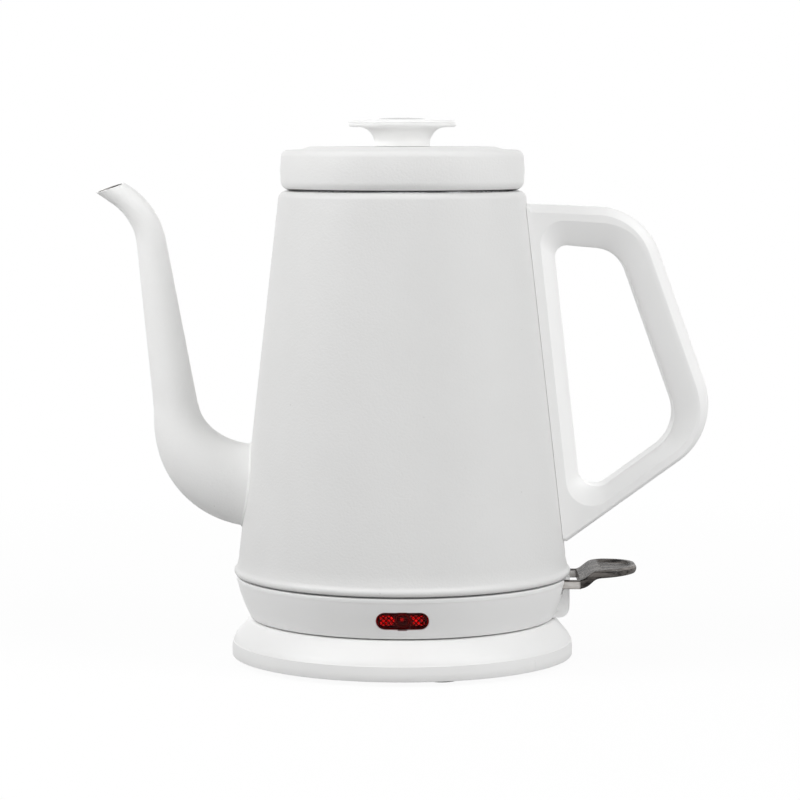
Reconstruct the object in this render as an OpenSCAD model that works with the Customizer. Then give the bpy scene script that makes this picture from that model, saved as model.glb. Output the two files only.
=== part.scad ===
// Electric gooseneck drip kettle on its power base. Millimetres, +Z up.
// The spout points to -X, the handle to +X and the pilot lamp to -Y.
// The origin is on the worktop, under the middle of the power base.

/* [Power base] */
// How far the base's rim stands out past the lower edge of the collar
base_out = 7.7; // [7:0.1:12]
// Height of the base from its lower edge to the flat deck
base_h = 15.2; // [14.6:0.2:20]
// How far the rubber feet stand out under the base
foot_h = 1.8; // [1.2:0.1:3]
// Diameter of a rubber foot
foot_d = 13; // [9:0.5:16]
// Distance of a foot's middle from the rim
foot_in = 14; // [12:0.5:18]
// Height of the straight part of the rim
rim_h = 3; // [2:0.1:4]
// Radius of the roll from the rim to the slope
rim_roll_r = 9; // [6:0.5:10]
// Angle of the slope above the horizontal
slope_a = 50; // [44:1:56]
// Radius of the roll from the slope to the deck
deck_roll_r = 2; // [1:0.2:4]
// Wall thickness of the base mouldings
base_wall = 2.2; // [1.8:0.1:2.6]
// Radius of the hole for the mains lead
lead_hole_r = 3.6; // [3:0.1:4]

/* [Connector] */
// Radius of the connector tower
tower_r = 12; // [11:0.5:14]
// Height of the tower above the deck
tower_h = 9.5; // [8:0.5:10]
// Radius of the step round the tower
tower_step_r = 19; // [17:0.5:22]
// Radius of the centre pin of the inlet
pin_r = 3; // [2.5:0.1:3.2]
// Mean radius of the ring contact of the inlet
ring_r = 8.1; // [7.8:0.1:8.4]

/* [Collar] */
// How far the top edge of the collar lies inside the vessel's bead
collar_in = 0.9; // [0.4:0.1:2]
// How far the lower edge of the collar lies inside its top edge
collar_undercut = 5.9; // [4:0.1:7]
// Height of the collar
collar_h = 16.5; // [15.5:0.5:20]
// Height of the straight band
band_h = 1.9; // [1:0.1:3]
// Bulge of the collar's side between its edges
collar_bulge = 0.5; // [0:0.1:1]
// Wall thickness of the collar
collar_wall = 2.2; // [1.6:0.1:2.6]
// Width of the switch housing on the collar
housing_w = 19; // [16:1:24]
// How far the housing stands out past the lower edge of the collar
housing_out = 6.3; // [5:0.1:7]

/* [Vessel] */
// Diameter of the vessel at the foot of its cone
vessel_d = 134.8; // [120:0.2:162]
// Taper of the wall from the vertical
wall_taper = 6.45; // [5:0.05:7.5]
// Height of the vessel from its lower edge to its top
vessel_h = 157; // [130:1:190]
// Thickness of the steel
steel_t = 0.8; // [0.6:0.1:1]
// Radius of the rolled bead at the bottom
bead_r = 3.4; // [3:0.1:4]
// How far the bead stands out past the foot of the cone
bead_out = 1.7; // [1.2:0.1:2.4]
// Radius of the rounded shoulder at the top
shoulder_r = 3.2; // [2.4:0.1:4.5]
// Width of the ledge round the mouth, from the wall's line inwards
mouth_ledge = 7.2; // [6.4:0.1:12]

/* [Spout] */
// Height of the middle of the spout's root above the vessel's lower edge
spout_root_h = 36.2; // [32:0.2:50]
// Radius of the bend above the root
spout_bend_r = 33.6; // [28:0.2:40]
// How far the spout's neck starts outside the foot of the cone
spout_bend_out = 24.9; // [22:0.1:32]
// Lean of the long neck from the vertical
spout_lean = 8.1; // [5:0.1:10]
// Height of the middle of the tip over the top of the vessel
tip_rise = 3.1; // [-12:0.1:12]
// Radius of the curve to the tip
tip_bend_r = 28.3; // [22:0.1:34]
// Angle of the tip above the horizontal
tip_a = 31.6; // [25:0.1:45]
// Length of the straight end at the tip
tip_len = 8; // [6:0.1:12]
// Half height of the spout at its root
root_half_h = 17.4; // [14:0.1:19]
// Width of the root as a share of its height
root_flat = 0.76; // [0.6:0.02:1]
// Outer radius of the spout where its long neck begins
neck_r = 8.9; // [7:0.1:11]
// Outer radius of the spout at its tip
tip_r = 4.6; // [4:0.1:6]
// Slope of the cut at the tip
tip_cut_a = 14.6; // [0:0.2:25]

/* [Handle] */
// Width of the handle
handle_w = 21; // [18:0.5:26]
// How far the handle reaches past the foot of the cone
handle_out = 57.3; // [50:0.1:70]
// Thickness of the spine beside the wall
spine_t = 8.7; // [7.5:0.1:11]
// Thickness of the grip
grip_t = 15; // [12:0.5:18]
// Thickness of the lower arm
arm_t = 9.6; // [9:0.1:13]
// Thickness of the top arm over its middle
top_arm_t = 16.6; // [13:0.1:20]
// Lean of the grip from the vertical
grip_lean = 19.7; // [12:0.1:24]
// Slope of the lower arm
arm_slope = 35.9; // [28:0.1:42]
// Fall of the top edge
top_fall = 2.3; // [0:0.1:5]
// Distance of the top edge below the top of the vessel
top_drop = 6.2; // [4:0.1:9]
// Height of the knuckle bend's centre above the vessel's lower edge
knuckle_h = 70.4; // [60:0.2:80]
// Radius of the outer knuckle bend
knuckle_r = 28.5; // [20:0.5:32]
// Width of the rounded band beside the palm, across the handle
palm_edge_w = 4; // [2:0.1:5]
// Depth of the same band, down the side of the handle
palm_edge_d = 5.7; // [3:0.1:6]
// Width of the rounding beside the finger opening, across the handle
finger_edge_w = 5.5; // [3:0.1:6]
// Depth of the same rounding on the grip
finger_edge_d = 8; // [5:0.1:8.6]

/* [Lever] */
// Width of the lever over its arms
lever_w = 35; // [30:0.5:40]
// Thickness of an arm across the lever
lever_arm_w = 3; // [2.4:0.1:4]
// Height of an arm
lever_arm_h = 3.5; // [3:0.1:4]
// How far the tip lies outside the collar's top edge
lever_out = 28.2; // [22:0.1:34]
// Rise of the paddle over the arms
paddle_rise = 4.8; // [3:0.1:7]
// Thickness of the paddle
paddle_t = 3.4; // [2.8:0.1:4]
// Depth of the finger dish in the paddle
dish_d = 0.9; // [0.4:0.1:1.2]
// Radius of the lever's pin
lever_pin_r = 1.25; // [1:0.05:1.5]
// Angle that the lever swings down to switch on
lever_travel = 10; // [6:1:10]

/* [Lid] */
// How far the lid's side lies inside the line of the wall
lid_in = 0.4; // [0:0.1:1.5]
// Height of the lid's side
lid_h = 16.4; // [13:0.2:22]
// Width of the ring round the raised centre
lid_ring_w = 9.8; // [8:0.2:16]
// Height of the raised centre
lid_step_h = 1.2; // [0.6:0.1:2.5]
// Depth of the plug in the mouth
plug_h = 6.6; // [5:0.2:12]
// Diameter of the knob
knob_d = 44.1; // [36:0.1:52]
// Diameter of the knob's neck
knob_neck_d = 22.8; // [20:0.1:26]
// Height of the knob
knob_h = 10.8; // [10.2:0.1:14]

/* [Fits] */
// Gap between pieces that lift off or turn past each other
running_gap = 0.3; // [0.3:0.05:0.4]
// Gap beside pieces that are fixed together
seat_gap = 0.1; // [0.05:0.01:0.15]
// Gap between the handle and the wall
wall_gap = 0.15; // [0.1:0.01:0.25]
// Clearance round a pin or a screw
pin_gap = 0.05; // [0.03:0.01:0.08]

/* [Hidden] */

white_paint = "#e2e2e1";
white_plastic = "#f0f0ef";
bare_steel = "#b9bcc0";
brass = "#c9a24a";
black_plastic = "#2b2b2d";
smoked_plastic = "#6e6764";
grey_rubber = "#56575a";

$fn = 96;
eps = 0.01;

// Steps between the pieces: cover to collar, collar to vessel, vessel's edge to its floor and to its cone
collar_lift = 0.5;
groove_h = 0.55;
floor_rise = 2.35;
cone_rise = 5.2;
bead_rise = 1.25;

// Heights, from the worktop up
z_rim = foot_h;
z_deck = z_rim + base_h;
z_cover = z_deck + running_gap;
z_collar = z_cover + collar_lift;
z_band = z_collar + collar_h - band_h;
z_collar_top = z_collar + collar_h;
z_vessel = z_collar_top + groove_h;
z_floor_seat = z_vessel + floor_rise;
z_floor = z_floor_seat + steel_t;
z_top = z_vessel + vessel_h;
z_lid = z_top + running_gap;
z_lid_top = z_lid + lid_h;
z_knob = z_lid_top + lid_step_h + seat_gap;

vessel_r = vessel_d / 2;
z_cone = z_vessel + cone_rise;
bead_cx = vessel_r + bead_out - bead_r;
bead_cz = z_vessel + bead_rise;
collar_top_r = vessel_r + bead_out - collar_in;
collar_low_r = collar_top_r - collar_undercut;
base_r = collar_low_r + base_out;
foot_ring_r = base_r - foot_in;

// Radius of the vessel's outside at a height, and the same wall moved in by a depth
function wall_r(z) = vessel_r - (z - z_cone) * tan(wall_taper);
function wall_in(z, depth) = wall_r(z) - depth / cos(wall_taper);

// Points of an arc in the plane of a profile
function arc(c, r, a0, a1, n = 8) =
    [for (i = [0:n]) let (a = a0 + (a1 - a0) * i / n) c + r * [cos(a), sin(a)]];

// Points from p to q that bulge out by sag
function bowed(p, q, sag, n = 6) = let (d = (q - p) / norm(q - p), out = [d[1], -d[0]])
    [for (i = [0:n]) let (t = i / n) p + (q - p) * t + out * sag * 4 * t * (1 - t)];

function flip(list) = [for (i = [len(list) - 1:-1:0]) list[i]];

// Where the line through p at angle a meets the line through q at angle b
function meet(p, a, q, b) = let (d = cos(a) * sin(b) - sin(a) * cos(b), w = q - p)
    p + [cos(a), sin(a)] * (w[0] * sin(b) - w[1] * cos(b)) / d;

module ring(r_in, r_out, z0, z1) {
    translate([0, 0, z0]) difference() {
        cylinder(r = r_out, h = z1 - z0);
        translate([0, 0, -eps]) cylinder(r = r_in, h = z1 - z0 + 2 * eps);
    }
}

// A rounded rectangle, centred
module rounded_rect(w, h, r) {
    union() {
        square([w - 2 * r, h], center = true);
        square([w, h - 2 * r], center = true);
        for (sx = [-1, 1], sy = [-1, 1])
            translate([sx * (w / 2 - r), sy * (h / 2 - r)]) circle(r = r, $fn = 32);
    }
}

// Extrudes a shape drawn in X and Z across Y, over a width
module across_y(w) {
    translate([0, w / 2, 0]) rotate([90, 0, 0]) linear_extrude(height = w) children();
}

// A cylinder that lies along Y
module rod_y(r, y0, y1) {
    translate([0, y0, 0]) rotate([-90, 0, 0]) cylinder(r = r, h = y1 - y0, $fn = 40);
}

// ---------------------------------------------------------------- power base

// The outside of the base, moved in by a depth, from the rim up to the deck
rim_c = [base_r - rim_roll_r, z_rim + rim_h];
function base_skin(depth) = let (
    n = [cos(90 - slope_a), sin(90 - slope_a)],
    edge = meet(rim_c + (rim_roll_r - depth) * n, 180 - slope_a, [0, z_deck - depth], 180),
    roll = deck_roll_r - depth,
    roll_c = edge - roll * [tan(slope_a / 2), 1]
) concat(
    arc(rim_c, rim_roll_r - depth, 0, 90 - slope_a, 6),
    roll > 0 ? arc(roll_c, roll, 90 - slope_a, 90, 4) : [edge]
);

floor_z0 = z_rim + 0.4;
floor_z1 = floor_z0 + 2;
floor_r = base_r - base_wall - running_gap;
screw_ring_r = base_r - 24;
boss_r = 3.6;
screw_r = 1.45;
screw_head_r = 2.7;
screw_head_h = 1.1;
screw_len = 7.5;
tower_z = z_deck + tower_h;
flange_z1 = z_deck - base_wall;
flange_z0 = flange_z1 - 3;
flange_r = tower_step_r + 5;
lead_wall = 1.6;
lead_z = floor_z1 + lead_hole_r + lead_wall;
lead_mouth_depth = 6.5;
lead_bore_len = 7.5;
lead_y1 = base_r - lead_mouth_depth;
lead_y0 = lead_y1 - lead_bore_len;
clamp_y = lead_y0 - 9;
clamp_screw_x = 9;
foot_turn = -74;
foot_sink = 0.8;
screw_hole_depth = 8;

// Places the four feet and the four screws of the base
module at_feet() {
    for (a = [0:90:270]) rotate(a + foot_turn) translate([foot_ring_r, 0, 0]) children();
}
module at_base_screws() {
    for (a = [45:90:315]) rotate(a) translate([screw_ring_r, 0, 0]) children();
}

module base_shell() {
    color(white_plastic) difference() {
        union() {
            rotate_extrude() polygon(concat(
                [[base_r, z_rim]], base_skin(0),
                [[tower_step_r + seat_gap, z_deck], [tower_step_r + seat_gap, z_deck - base_wall]],
                flip(base_skin(base_wall)), [[base_r - base_wall, z_rim]]
            ));
            at_base_screws() translate([0, 0, floor_z1 + seat_gap])
                cylinder(r = boss_r, h = z_deck - base_wall - floor_z1);
            intersection() {
                translate([0, 0, lead_z]) rod_y(lead_hole_r + lead_wall, lead_y0, base_r);
                rotate_extrude() polygon(concat([[0, z_rim], [base_r, z_rim]], base_skin(0), [[0, z_deck]]));
            }
            for (sx = [-1, 1]) translate([sx * clamp_screw_x, clamp_y, lead_z])
                cylinder(r = boss_r, h = z_deck - base_wall / 2 - lead_z);
        }
        at_base_screws() translate([0, 0, floor_z1]) cylinder(r = screw_r + pin_gap, h = screw_hole_depth);
        translate([0, 0, lead_z]) rod_y(lead_hole_r, lead_y0 - 1, base_r);
        translate([0, 0, lead_z]) rod_y(lead_hole_r + 1.4, lead_y1, base_r + 1);
        for (sx = [-1, 1]) translate([sx * clamp_screw_x, clamp_y, lead_z - eps])
            cylinder(r = screw_r + pin_gap, h = 5.5);
    }
}

module base_floor() {
    color(white_plastic) difference() {
        union() {
            ring(0, floor_r, floor_z0, floor_z1);
            ring(flange_r - 4, flange_r - 2, floor_z1, flange_z0 - seat_gap);
        }
        at_feet() translate([0, 0, floor_z0 - eps]) cylinder(r = foot_d / 2 + seat_gap, h = foot_sink);
        at_base_screws() translate([0, 0, floor_z0 - eps]) screw_seat();
        for (a = [0:30:330]) rotate(a) translate([33, 0, floor_z0 - eps])
            linear_extrude(height = 3) rounded_rect(8, 2, 0.9);
    }
}

module base_feet() {
    edge_r = 0.6;
    top = floor_z0 + foot_sink - eps;
    color(grey_rubber) at_feet() rotate_extrude($fn = 48) polygon(concat(
        [[0, 0]], arc([foot_d / 2 - edge_r, edge_r], edge_r, -90, 0, 4), [[foot_d / 2, top], [0, top]]
    ));
}

// The hole and the counterbore for a small tapping screw
module screw_seat() {
    cylinder(r = screw_r + 0.2, h = 4);
    cylinder(r = screw_head_r + 0.2, h = screw_head_h + seat_gap);
}

module tapping_screw(head_r, head_h, shank_r, len) {
    difference() {
        union() {
            cylinder(r = head_r, h = head_h, $fn = 40);
            translate([0, 0, head_h - eps]) cylinder(r = shank_r, h = len, $fn = 40);
        }
        for (a = [0, 90]) rotate(a)
            translate([-head_r * 0.6, -0.4, -eps]) cube([head_r * 1.2, 0.8, head_h / 2]);
    }
}

module base_screws() {
    color(bare_steel) at_base_screws() translate([0, 0, floor_z0])
        tapping_screw(screw_head_r, screw_head_h, screw_r, screw_len);
}

slot_in_r = ring_r - 1.2;
slot_out_r = ring_r + 1.4;
socket_r = pin_r + 1.4;
slot_z = z_deck - 1.2;

module base_connector() {
    color(black_plastic) difference() {
        union() {
            ring(0, flange_r, flange_z0, flange_z1 - seat_gap);
            rotate_extrude() polygon(concat(
                [[0, flange_z1 - 0.5], [tower_step_r, flange_z1 - 0.5], [tower_step_r, z_deck - 0.4],
                 [tower_step_r - 0.4, z_deck], [tower_r, z_deck]],
                arc([tower_r - 1, tower_z - 1], 1, 0, 90, 4), [[0, tower_z]]
            ));
        }
        translate([0, 0, flange_z0 + 1.2]) cylinder(r = socket_r, h = 30);
        ring(slot_in_r, slot_out_r, slot_z, tower_z + 1);
    }
}

module base_contacts() {
    color(brass) {
        difference() {
            ring(pin_r + 0.35, socket_r - 0.1, flange_z0 + 1.3, tower_z - 2);
            for (a = [0, 90]) rotate(a) translate([-10, -0.4, flange_z0 + 6]) cube([20, 0.8, 30]);
        }
        for (a = [0, 180]) rotate(a - 14) translate([0, 0, slot_z + 0.1])
            rotate_extrude(angle = 28) translate([slot_out_r - 0.45, 0]) square([0.35, tower_h - 1]);
    }
}

module lead_clamp() {
    clamp_l = 2 * clamp_screw_x + 2 * boss_r;
    clamp_w = 7;
    clamp_t = 1.2;
    head_h = 1.5;
    color(bare_steel) translate([0, clamp_y, lead_z - seat_gap - clamp_t]) {
        difference() {
            union() {
                linear_extrude(height = clamp_t) rounded_rect(clamp_l, clamp_w, 2);
                intersection() {
                    translate([0, 0, clamp_t + seat_gap]) rod_y(lead_hole_r + 1, -clamp_w / 2, clamp_w / 2);
                    translate([-8, -4, clamp_t - 6]) cube([16, 8, 6]);
                }
            }
            translate([0, 0, clamp_t + seat_gap]) rod_y(lead_hole_r, -clamp_w, clamp_w);
            for (sx = [-1, 1]) translate([sx * clamp_screw_x, 0, -1])
                cylinder(r = screw_r + 0.2, h = 4, $fn = 40);
        }
        for (sx = [-1, 1]) translate([sx * clamp_screw_x, 0, -head_h])
            tapping_screw(screw_head_r, head_h, screw_r, 6);
    }
}

// ---------------------------------------------------------------- inlet of the kettle

inlet_r = tower_r + 4;
inlet_z0 = z_deck + 0.6 + running_gap;
inlet_z1 = tower_z + 0.8;
inlet_top = inlet_z1 + 2.6;

module inlet_body() {
    color(black_plastic) difference() {
        rotate_extrude() polygon([
            [0, inlet_z1], [tower_r + 0.5, inlet_z1], [tower_r + 0.5, inlet_z0 + 1], [tower_r + 1.3, inlet_z0],
            [inlet_r, inlet_z0], [inlet_r, inlet_top], [0, inlet_top]
        ]);
        translate([0, 0, inlet_z1 - 1]) cylinder(r = pin_r + pin_gap, h = 10);
        ring(ring_r - 0.5 - pin_gap, ring_r + 0.5 + pin_gap, inlet_z1 - 1, inlet_z1 + 1.4);
    }
}

module inlet_contacts() {
    color(brass) {
        rotate_extrude($fn = 64) polygon(concat(
            [[0, inlet_top - 0.2]], arc([0, slot_z + 1 + pin_r], pin_r, -90, 0, 6), [[pin_r, inlet_top - 0.2]]
        ));
        ring(ring_r - 0.5, ring_r + 0.5, slot_z + 2, inlet_z1 + 1.3);
    }
}

// ---------------------------------------------------------------- vessel

// The outside of the vessel, moved in by a depth, from its lower edge up to its mouth
function vessel_skin(depth) = let (
    bead = bead_r - depth,
    cut_a = acos((wall_in(bead_cz + bead_r * 0.8, depth) - bead_cx) / bead),
    sh_c = [wall_in(z_top - shoulder_r, shoulder_r), z_top - shoulder_r]
) concat(
    arc([bead_cx, bead_cz], bead, asin((z_vessel + depth - bead_cz) / bead), min(cut_a, 58), 8),
    [[wall_in(bead_cz + bead_r * 0.8 + 1.4, depth), bead_cz + bead_r * 0.8 + 1.4]],
    arc(sh_c, shoulder_r - depth, wall_taper, 90, 8)
);

mouth_r = wall_r(z_top) - mouth_ledge;
lip_h = 3;
hem_r = vessel_r - 2.6;

// Solid inside of the vessel's outer surface, grown by a gap, to trim what sits on the wall
module wall_solid(gap) {
    rotate(90) rotate_extrude($fn = 256) polygon([
        [0, z_vessel - 10], [wall_in(z_vessel - 10, -gap), z_vessel - 10],
        [wall_in(z_top + 20, -gap), z_top + 20], [0, z_top + 20]
    ]);
}

module kettle_body() {
    color(white_paint) difference() {
        rotate_extrude($fn = 128) polygon(concat(
            [[hem_r, z_vessel]], vessel_skin(0),
            arc([mouth_r + 1, z_top - 1], 1, 90, 180, 4),
            [[mouth_r, z_top - lip_h], [mouth_r + steel_t, z_top - lip_h]],
            [[mouth_r + steel_t, z_top - steel_t]],
            flip(vessel_skin(steel_t)), [[hem_r, z_vessel + steel_t]]
        ));
        spout_hole();
    }
}

module heater_plate() {
    rim_r = bead_cx + 0.4;
    rim_z = z_vessel + steel_t + seat_gap;
    color(bare_steel) difference() {
        rotate_extrude() polygon([
            [0, z_floor_seat], [rim_r - steel_t, z_floor_seat], [rim_r - steel_t, rim_z],
            [rim_r, rim_z], [rim_r, z_floor - 0.4], [rim_r - 0.4, z_floor], [0, z_floor]
        ]);
        at_steam_tube() translate([0, 0, z_floor_seat - 1]) cylinder(r = steam_r + pin_gap, h = 4);
    }
}

steam_r = 3.2;
steam_low = z_floor_seat - 5;
steam_top = z_top - 16;
steam_ring_r = wall_in(steam_top, steel_t) - steam_r - 2.24;
diffuser_r = steam_ring_r - steam_r - 0.6;
diffuser_t = 2.4;
element_r = 3.3;
element_ring_r = diffuser_r - 8;
element_z = z_floor_seat - diffuser_t - element_r;

module diffuser_plate() {
    color("#c8cacc") ring(0, diffuser_r, z_floor_seat - diffuser_t, z_floor_seat);
}

module heating_element() {
    gap_a = 55;
    color("#8f9296") {
        translate([0, 0, element_z]) rotate(gap_a) rotate_extrude(angle = 360 - 2 * gap_a)
            translate([element_ring_r, 0]) circle(r = element_r - 0.02, $fn = 24);
        for (s = [-1, 1]) rotate(s * (gap_a + 4)) translate([element_ring_r, 0, element_z - 7])
            cylinder(r = 1.2, h = 6, $fn = 24);
    }
}

seal_in_r = collar_top_r - 6.4;

module floor_seal() {
    seal_out_r = hem_r - seat_gap;
    color("#d8d8d6") rotate_extrude() polygon([
        [seal_in_r, z_collar_top], [seal_out_r, z_collar_top], [seal_out_r, z_floor_seat - seat_gap],
        [seal_out_r - 1.6, z_floor_seat - seat_gap], [seal_out_r - 1.6, z_vessel], [seal_in_r, z_vessel]
    ]);
}

steam_a = 25;

module at_steam_tube() {
    rotate(steam_a) translate([steam_ring_r, 0, 0]) children();
}

module steam_tube() {
    color(bare_steel) at_steam_tube() difference() {
        translate([0, 0, steam_low]) cylinder(r = steam_r, h = steam_top - steam_low, $fn = 40);
        translate([0, 0, steam_low - 1]) cylinder(r = steam_r - 0.5, h = vessel_h + 10, $fn = 40);
        translate([-10, -10, steam_top - 3]) rotate([0, 25, 0]) cube([30, 20, 20]);
    }
}

// ---------------------------------------------------------------- spout

spout_x0 = -(vessel_r - 12.4);
bend_x = -(vessel_r + spout_bend_out);
spout_z0 = z_vessel + spout_root_h;
root_run = spout_x0 - (bend_x + spout_bend_r * cos(spout_lean));
bend_len = spout_bend_r * (90 - spout_lean) * PI / 180;
tip_turn = 90 - spout_lean - tip_a;
tip_bend_len = tip_bend_r * tip_turn * PI / 180;
bend_c = [spout_x0 - root_run, spout_z0 + spout_bend_r];
bend_end = bend_c + spout_bend_r * [-cos(spout_lean), -sin(spout_lean)];
tip_bend_h = tip_bend_r * (sin(spout_lean + tip_turn) - sin(spout_lean));
neck_len = (z_top + tip_rise - bend_end[1] - tip_bend_h - tip_len * sin(tip_a)) / cos(spout_lean);
spout_len = root_run + bend_len + neck_len + tip_bend_len + tip_len;
neck_end = bend_end + neck_len * [-sin(spout_lean), cos(spout_lean)];
tip_c = neck_end + tip_bend_r * [-cos(spout_lean), -sin(spout_lean)];
tip_start = tip_c + tip_bend_r * [cos(spout_lean + tip_turn), sin(spout_lean + tip_turn)];

// Heading of the spout's middle line at a length, in degrees above -X
function spout_heading(s) =
    s < root_run ? 0 :
    s < root_run + bend_len ? (s - root_run) / spout_bend_r * 180 / PI :
    s < root_run + bend_len + neck_len ? 90 - spout_lean :
    max(tip_a, 90 - spout_lean - (s - root_run - bend_len - neck_len) / tip_bend_r * 180 / PI);

// Point of the middle line at a length, in X and Z
function spout_point(s) = let (h = spout_heading(s))
    s < root_run ? [spout_x0 - s, spout_z0] :
    s < root_run + bend_len ? bend_c + spout_bend_r * [-sin(h), -cos(h)] :
    s < root_run + bend_len + neck_len ? bend_end + (s - root_run - bend_len) * [-cos(h), sin(h)] :
    s < spout_len - tip_len ? tip_c + tip_bend_r * [sin(h), cos(h)] :
    tip_start + (s - spout_len + tip_len) * [-cos(tip_a), sin(tip_a)];

// The long neck tapers evenly to the tip. Towards the root a swell is added, which ends above the bend
swell_end = root_run + bend_len + 6.6;
swell_power = 1.6;
function ease(t) = t * t * (3 - 2 * t);
function neck_half(s) = tip_r + (neck_r - tip_r) * (spout_len - s) / (spout_len - swell_end);
function spout_half(s) = neck_half(s)
    + (root_half_h - neck_half(0)) * (1 - ease(pow(min(1, max(0, s) / swell_end), swell_power)));

// Width of the section as a share of its height: oval at the root, round a little above the swell
round_end = swell_end + 12;
function spout_round(s) = root_flat + (1 - root_flat) * ease(min(1, max(0, s) / round_end));

spout_sides = 24;
spout_rings = 38;
tip_spare = 2;

// A tube solid along the middle line, moved in from the outside by a depth
module spout_solid(depth, run_on) {
    ring_at = [for (i = [0:spout_rings]) spout_len * i / spout_rings + (i == spout_rings ? run_on : 0)];
    pts = [for (s = ring_at) let (p = spout_point(s), h = spout_heading(s), rz = spout_half(s) - depth,
            ry = spout_half(s) * spout_round(s) - depth)
        for (k = [0:spout_sides - 1]) let (a = 360 * k / spout_sides)
            [p[0] + rz * cos(a) * sin(h), ry * sin(a), p[1] + rz * cos(a) * cos(h)]];
    sides = [for (i = [0:spout_rings - 1], k = [0:spout_sides - 1])
        let (b = i * spout_sides, c = b + spout_sides, k2 = (k + 1) % spout_sides)
            [b + k, c + k, c + k2, b + k2]];
    polyhedron(
        points = pts,
        faces = concat(sides, [[for (k = [0:spout_sides - 1]) k]],
            [flip([for (k = [0:spout_sides - 1]) spout_rings * spout_sides + k])]),
        convexity = 6
    );
}

// The oval opening in the wall behind the spout's root, a little smaller than the spout's bore
module spout_hole() {
    inset = steel_t + 2;
    s_wall = spout_x0 + wall_r(spout_z0);
    hz = spout_half(s_wall) - inset;
    hy = spout_half(s_wall) * spout_round(s_wall) - inset;
    translate([-wall_r(spout_z0) - 12, 0, spout_z0]) rotate([90, 0, 90])
        linear_extrude(height = 30) polygon([for (k = [0:39]) [hy * cos(9 * k), hz * sin(9 * k)]]);
}

module spout() {
    heading = [-cos(tip_a), sin(tip_a)];
    tip_edge = tip_start + tip_len * heading - tip_r * [sin(tip_a), cos(tip_a)];
    color(white_paint) difference() {
        spout_solid(0, tip_spare);
        spout_solid(steel_t, tip_spare + 1);
        wall_solid(pin_gap);
        translate([tip_edge[0], -20, tip_edge[1]]) rotate([0, -tip_cut_a, 0])
            translate([-30, 0, 0]) cube([60, 40, 30]);
    }
}

// ---------------------------------------------------------------- collar and underside

housing_x = collar_low_r + housing_out;
lamp_w = 20.7;
lamp_h = 6.9;
lamp_z = (z_collar + z_band) / 2 + 0.1;
lever_pin_x = collar_top_r - 8.2;
lever_z = z_collar_top - 2.05;
lever_pin_z = lever_z + lever_arm_h / 2 - lever_pin_r - 1.55;
slot_drop = (collar_top_r - lever_pin_x) * tan(lever_travel) + 0.8;

// The outside of the collar moved in by a depth, from its lower edge up. The top band stands out a step
band_step = 0.35;
function collar_skin(depth) = let (r = collar_top_r - depth) concat(
    bowed([collar_low_r - depth, z_collar], [r - band_step, z_band], collar_bulge),
    [[r, z_band + band_step], [r, z_collar_top]]
);

// The space outside or inside the collar's faces, as a solid of revolution
module collar_solid(depth) {
    rotate_extrude() polygon(concat([[0, z_collar]], collar_skin(depth), [[0, z_collar_top]]));
}

// The switch housing, moved in by a depth
module housing_solid(depth) {
    corner = 4.4;
    w = housing_w - 2 * depth;
    x1 = housing_x - depth;
    intersection() {
        across_y(w) polygon(concat(
            [[collar_low_r - 6, z_collar + depth]],
            arc([x1 - corner, z_collar + depth + corner], corner, -90, 0, 6),
            [[x1, z_collar_top], [collar_low_r - 6, z_collar_top]]
        ));
        translate([x1 - 15, 0, z_collar - 1])
            linear_extrude(height = collar_h + 2) rounded_rect(30, w, 2.4);
    }
}

module stadium_y(w, h, y0, y1) {
    translate([0, y1, 0]) rotate([90, 0, 0]) linear_extrude(height = y1 - y0) union() {
        square([w - h, h], center = true);
        for (s = [-1, 1]) translate([s * (w - h) / 2, 0]) circle(r = h / 2, $fn = 48);
    }
}

pin_boss_y = lever_w / 2 - lever_arm_w - 3.2;

module collar() {
    color(white_plastic) difference() {
        union() {
            difference() {
                union() {
                    rotate_extrude($fn = 128) polygon(concat(
                        [[collar_low_r - collar_wall, z_collar]], collar_skin(0),
                        [[seal_in_r, z_collar_top], [seal_in_r, z_collar_top - 1.6]], flip(collar_inside())
                    ));
                    difference() {
                        housing_solid(0);
                        collar_solid(collar_wall);
                    }
                }
                intersection() {
                    housing_solid(1.6);
                    translate([collar_low_r - 3, -20, z_collar + 1.6]) cube([20, 40, collar_h - 3.2]);
                }
            }
            for (s = [-1, 1]) translate([lever_pin_x, 0, 0]) intersection() {
                translate([-3, s > 0 ? pin_boss_y - 3 : -pin_boss_y, z_collar + 3])
                    cube([7.5, 3, z_collar_top - z_collar - 3]);
                translate([-lever_pin_x, 0, 0]) collar_solid(0.5);
            }
        }
        translate([0, 0, lamp_z])
            stadium_y(lamp_w + running_gap, lamp_h + running_gap, -collar_top_r - 5, -collar_low_r + 8);
        for (s = [-1, 1]) translate([lever_pin_x - 1, s * (lever_w - lever_arm_w) / 2, 0])
            translate([0, -lever_arm_w / 2 - 0.4, lever_z - lever_arm_h / 2 - slot_drop])
                cube([20, lever_arm_w + 0.8, 20]);
        translate([lever_pin_x, 0, lever_pin_z])
            rod_y(lever_pin_r + pin_gap / 2, -pin_boss_y - 1, pin_boss_y + 1);
    }
}

// The inner face of the collar, which stops below the inward flange that carries the seal
function collar_inside() = let (top_r = collar_top_r - band_step - collar_wall) concat(
    bowed([collar_low_r - collar_wall, z_collar], [top_r, z_band], collar_bulge), [[top_r, z_band + eps]]
);

cover_t = 2;
cover_r = collar_low_r - collar_wall - seat_gap;
cover_hole_r = inlet_r + 0.5;
stud_ring_r = cover_r - 8;
stud_r = 3.4;
stud_angles = [90, 200, 320];
control_r = 25;
control_z0 = z_cover + cover_t + 0.6;
control_z1 = z_floor_seat - diffuser_t - 0.9;

module at_studs() {
    for (a = stud_angles) rotate(a) translate([stud_ring_r, 0, 0]) children();
}

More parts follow.
